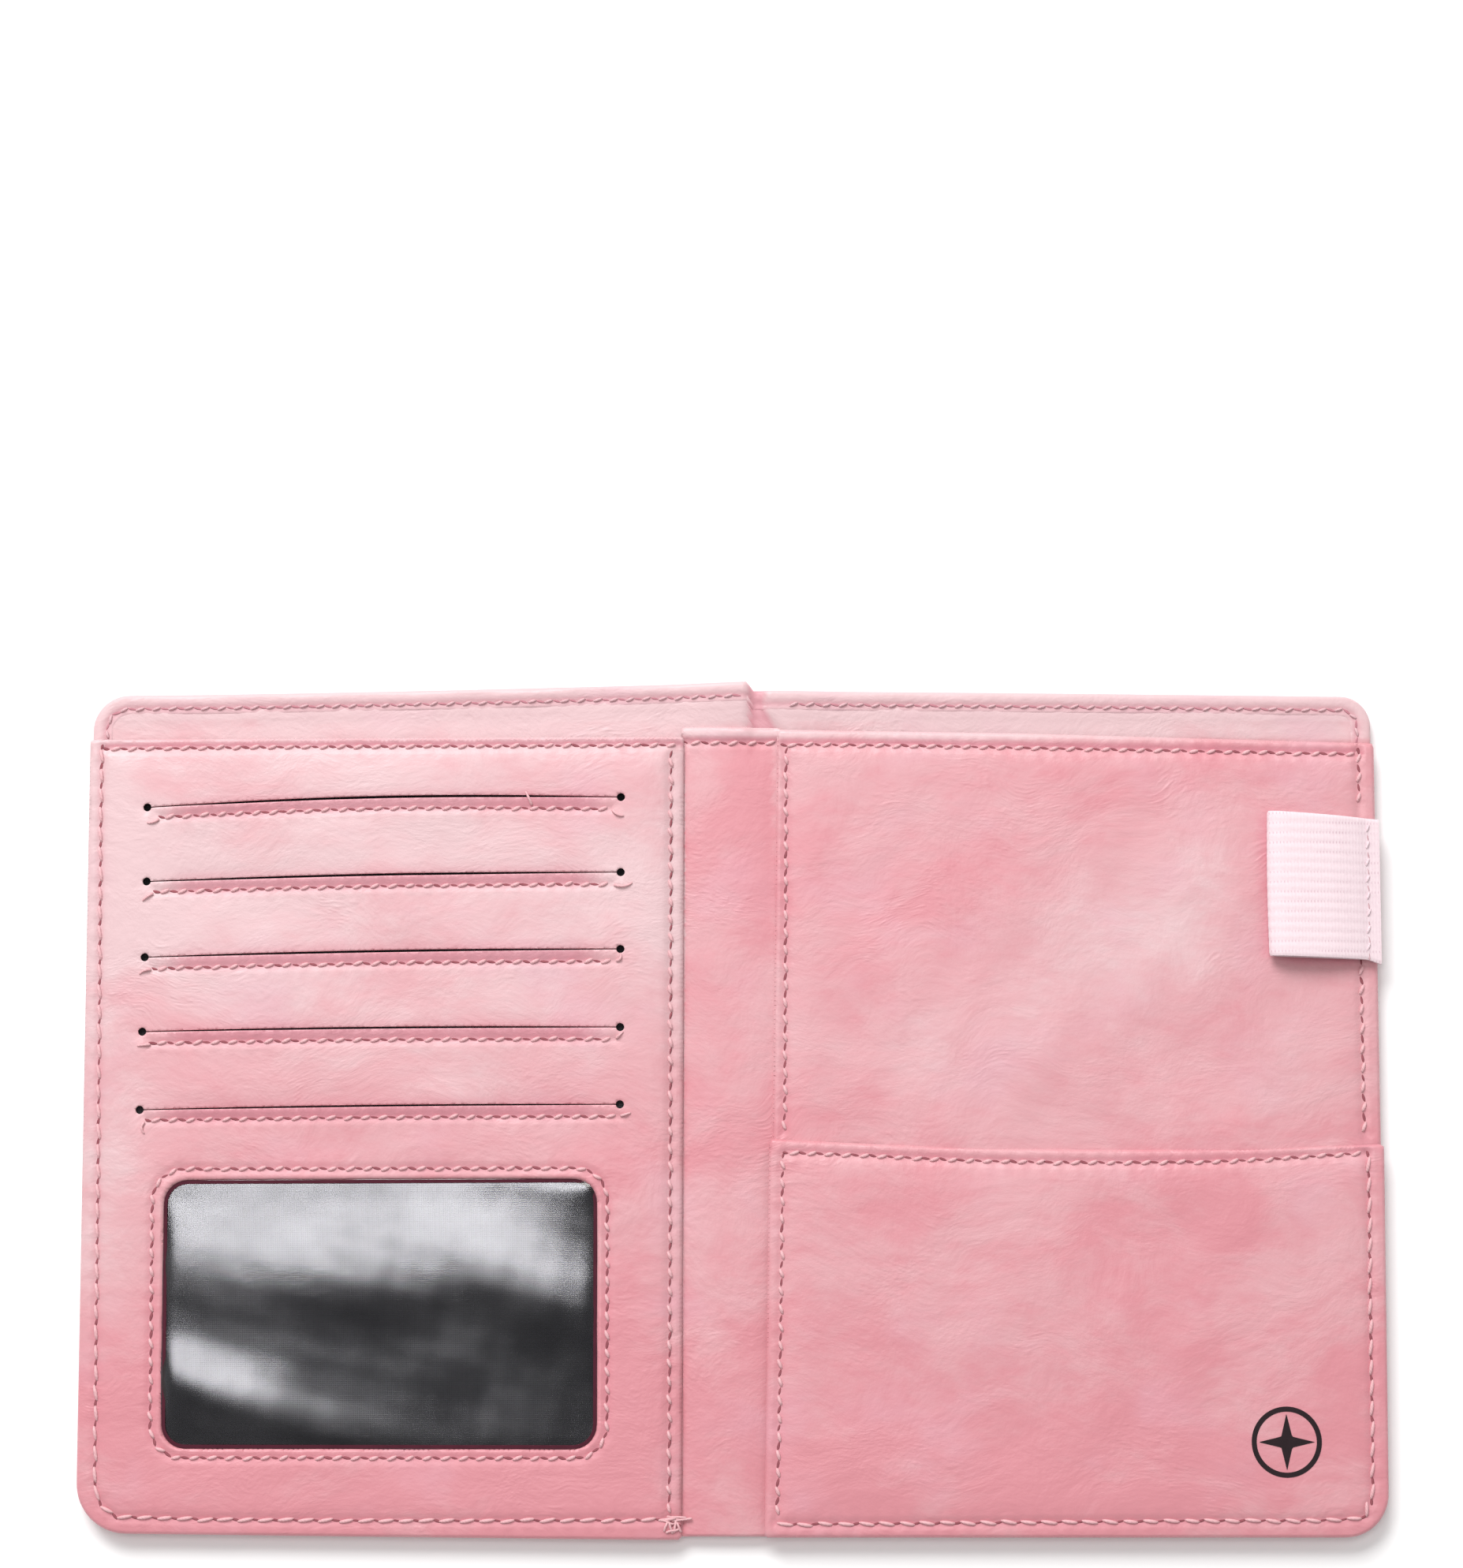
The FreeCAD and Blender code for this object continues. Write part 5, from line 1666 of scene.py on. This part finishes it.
def tone_and_light_at(where):
    """How pale the leather is, from 0 to 1, before its clouds are added: partly its own pull-up colour,
    partly painted light, paler up the page and on the left where the light falls, with painted highlights
    along folds.
    """
    x, y = where[:, 0], where[:, 1]
    # Painted light: the left half is paler up the page and near its left edge.
    left = 0.02 + 0.28 * smooth(y, -72.0, 0.0) + 0.55 * smooth(y, -8.0, 42.0) - 0.16 * smooth(y, 50.0, 60.0)
    left += 0.40 * np.exp(-((x - LEFT_X) / 9.0) ** 2) * smooth(y, -74.0, -20.0)
    left += 0.14 * np.exp(-((x - CARD_EDGE_X) / 5.0) ** 2)
    right = 0.02 + 0.14 * smooth(y, -75.0, -25.0) + 0.10 * smooth(y, -10.0, 10.0)
    for px, py, reach_along, reach_across, heading, strength in TONE_AND_HIGHLIGHT_PATCHES:
        c, s = math.cos(math.radians(heading)), math.sin(math.radians(heading))
        dx, dy = x - px, y - py
        u = (dx * c + dy * s) / reach_along
        v = (-dx * s + dy * c) / reach_across
        right += strength * np.exp(-u ** 2 - v ** 2)
    middle = 0.02 + 0.20 * np.exp(-((y - 10.0) / 45.0) ** 2)
    middle += 0.30 * smooth(y, 40.0, 66.0) * (1 - smooth(x, -6.0, 4.0))
    tone_and_light = np.where(x < CARD_EDGE_X + 0.2, left, np.where(x < PASSPORT_EDGE_X, middle, right))
    # Painted light: the lining and lip along the top are paler still.
    band = smooth(y, PANEL_TOP_Y - 1.5, PANEL_TOP_Y + 0.6)
    lip = smooth(y, PANEL_TOP_Y + 3.0, PANEL_TOP_Y + 5.0)
    return tone_and_light * (1 - band) + (0.9 + 0.7 * lip) * band


def paint_tone_and_light():
    """Writes the leather's pale and dark places, partly painted light, on every leather piece; the outside of
    the cover stays even.
    """
    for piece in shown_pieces():
        if piece.type != "MESH" or "rest" not in piece.data.attributes:
            continue
        rest = np.zeros(len(piece.data.vertices) * 3, np.float32)
        piece.data.attributes["rest"].data.foreach_get("vector", rest)
        where = rest.reshape(-1, 3) / MM
        inside_cover = where[:, 2] > 0.9
        values = np.where(inside_cover, tone_and_light_at(where[:, :2]), 0.18)
        add_values(piece, "tone_and_light", values)


# ------------------------------------------------------------ camera, lights and floor
def look_at(thing, target):
    thing.rotation_euler = (Vector(target) - thing.location).to_track_quat("-Z", "Y").to_euler()


CAMERA_PLACE = (-0.00007, -0.02407, 0.695)
CAMERA_TARGET = (-0.00007, 0.05978, 0.0)
LENS_MM = 87.22
CEILING_EDGE = math.cos(math.radians(38.0))     # the ceiling starts to darken this far from straight up
CEILING_MIDDLE = math.cos(math.radians(8.0))    # and is darkest from here on


def add_camera():
    """Nearly straight above, from a little below the middle of the page."""
    data = bpy.data.cameras.new("camera")
    camera = bpy.data.objects.new("camera", data)
    bpy.context.scene.collection.objects.link(camera)
    camera.location = CAMERA_PLACE
    look_at(camera, CAMERA_TARGET)
    data.lens = LENS_MM
    data.sensor_width = 36.0
    data.clip_start, data.clip_end = 0.01, 20.0
    bpy.context.scene.camera = camera


def add_light(name, place, size, watts):
    data = bpy.data.lights.new(name, "AREA")
    data.shape = "RECTANGLE"
    data.size, data.size_y = size
    data.energy = watts
    light = bpy.data.objects.new(name, data)
    bpy.context.scene.collection.objects.link(light)
    light.location = place
    look_at(light, (0, 0, 0))
    light.visible_camera = False


def add_world():
    """Soft light from all round, with a dark ceiling straight above."""
    world = bpy.data.worlds.new("studio")
    world.use_nodes = True
    tree = world.node_tree
    place = tree.nodes.new("ShaderNodeTexCoord")
    split = tree.nodes.new("ShaderNodeSeparateXYZ")
    tree.links.new(place.outputs["Generated"], split.inputs[0])
    ramp = tree.nodes.new("ShaderNodeMapRange")
    ramp.interpolation_type = "SMOOTHSTEP"
    tree.links.new(split.outputs["Z"], ramp.inputs["Value"])
    reach = {"From Min": CEILING_EDGE, "From Max": CEILING_MIDDLE, "To Min": 0.59, "To Max": 0.11}
    for key, value in reach.items():
        ramp.inputs[key].default_value = value
    background = tree.nodes["Background"]
    background.inputs["Color"].default_value = (1.0, 0.99, 0.985, 1)
    tree.links.new(ramp.outputs["Result"], background.inputs["Strength"])
    bpy.context.scene.world = world


def add_stage():
    mesh = bpy.data.meshes.new("floor")
    corners = [(-4.0, -4.0, 0), (4.0, -4.0, 0), (4.0, 4.0, 0), (-4.0, 4.0, 0)]
    mesh.from_pydata(corners, [], [(0, 1, 2, 3)])
    mesh.materials.append(floor_material())
    floor = bpy.data.objects.new("floor", mesh)
    bpy.context.scene.collection.objects.link(floor)
    floor.location = (0, 0, -0.0002)
    floor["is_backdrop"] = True
    add_light("key_softbox", (-0.40, 1.09, 1.17), (0.9, 0.78), 26.5)
    add_light("overhead_softbox", (-0.10, 0.20, 1.30), (0.62, 0.26), 3.0)
    add_world()
    bpy.context.scene.view_settings.view_transform = "Standard"


# ------------------------------------------------------------ the whole object
def make_object():
    cover_leather = leather("cover_leather", (0.4, 0.1, 0.0), rough=0.45)
    panel_leather = leather("panel_leather", (0.0, 0.0, 0.0))
    # The needle holes' colours are painted shade, fainter on the lip and on the elastic.
    sewing = (thread_material("pink_thread", (0.68, 0.34, 0.37, 1), (0.74, 0.44, 0.46, 1)),
              hole_shade_material("needle_hole_shade", (0.20, 0.045, 0.060, 1), (0.34, 0.095, 0.115, 1)))
    lip_sewing = (thread_material("lip_thread", (0.62, 0.36, 0.39, 1), (0.66, 0.41, 0.44, 1)),
                  hole_shade_material("lip_needle_hole", (0.44, 0.16, 0.20, 1), (0.54, 0.24, 0.28, 1)))
    pale_sewing = (thread_material("pale_thread", (0.70, 0.53, 0.57, 1), (0.76, 0.60, 0.64, 1)),
                   hole_shade_material("pale_needle_hole", (0.52, 0.30, 0.33, 1), (0.66, 0.44, 0.47, 1)))
    make_cover(cover_leather)
    make_lining(panel_leather)
    make_cover_stitches(sewing, lip_sewing)
    make_strip(panel_leather, sewing)
    make_card_panel(panel_leather, sewing)
    pocket = make_passport_side(panel_leather, sewing)
    make_film(film_material())
    make_pen_loop(elastic_material(), pale_sewing)
    make_emblem(pocket, print_material())
    cloth = black_cloth()
    make_backing(cloth)
    make_window_shadow_ring(window_shadow_material())
    dress_cad_nodes(board_material(), cloth)


add_camera()
add_stage()
make_object()
paint_tone_and_light()
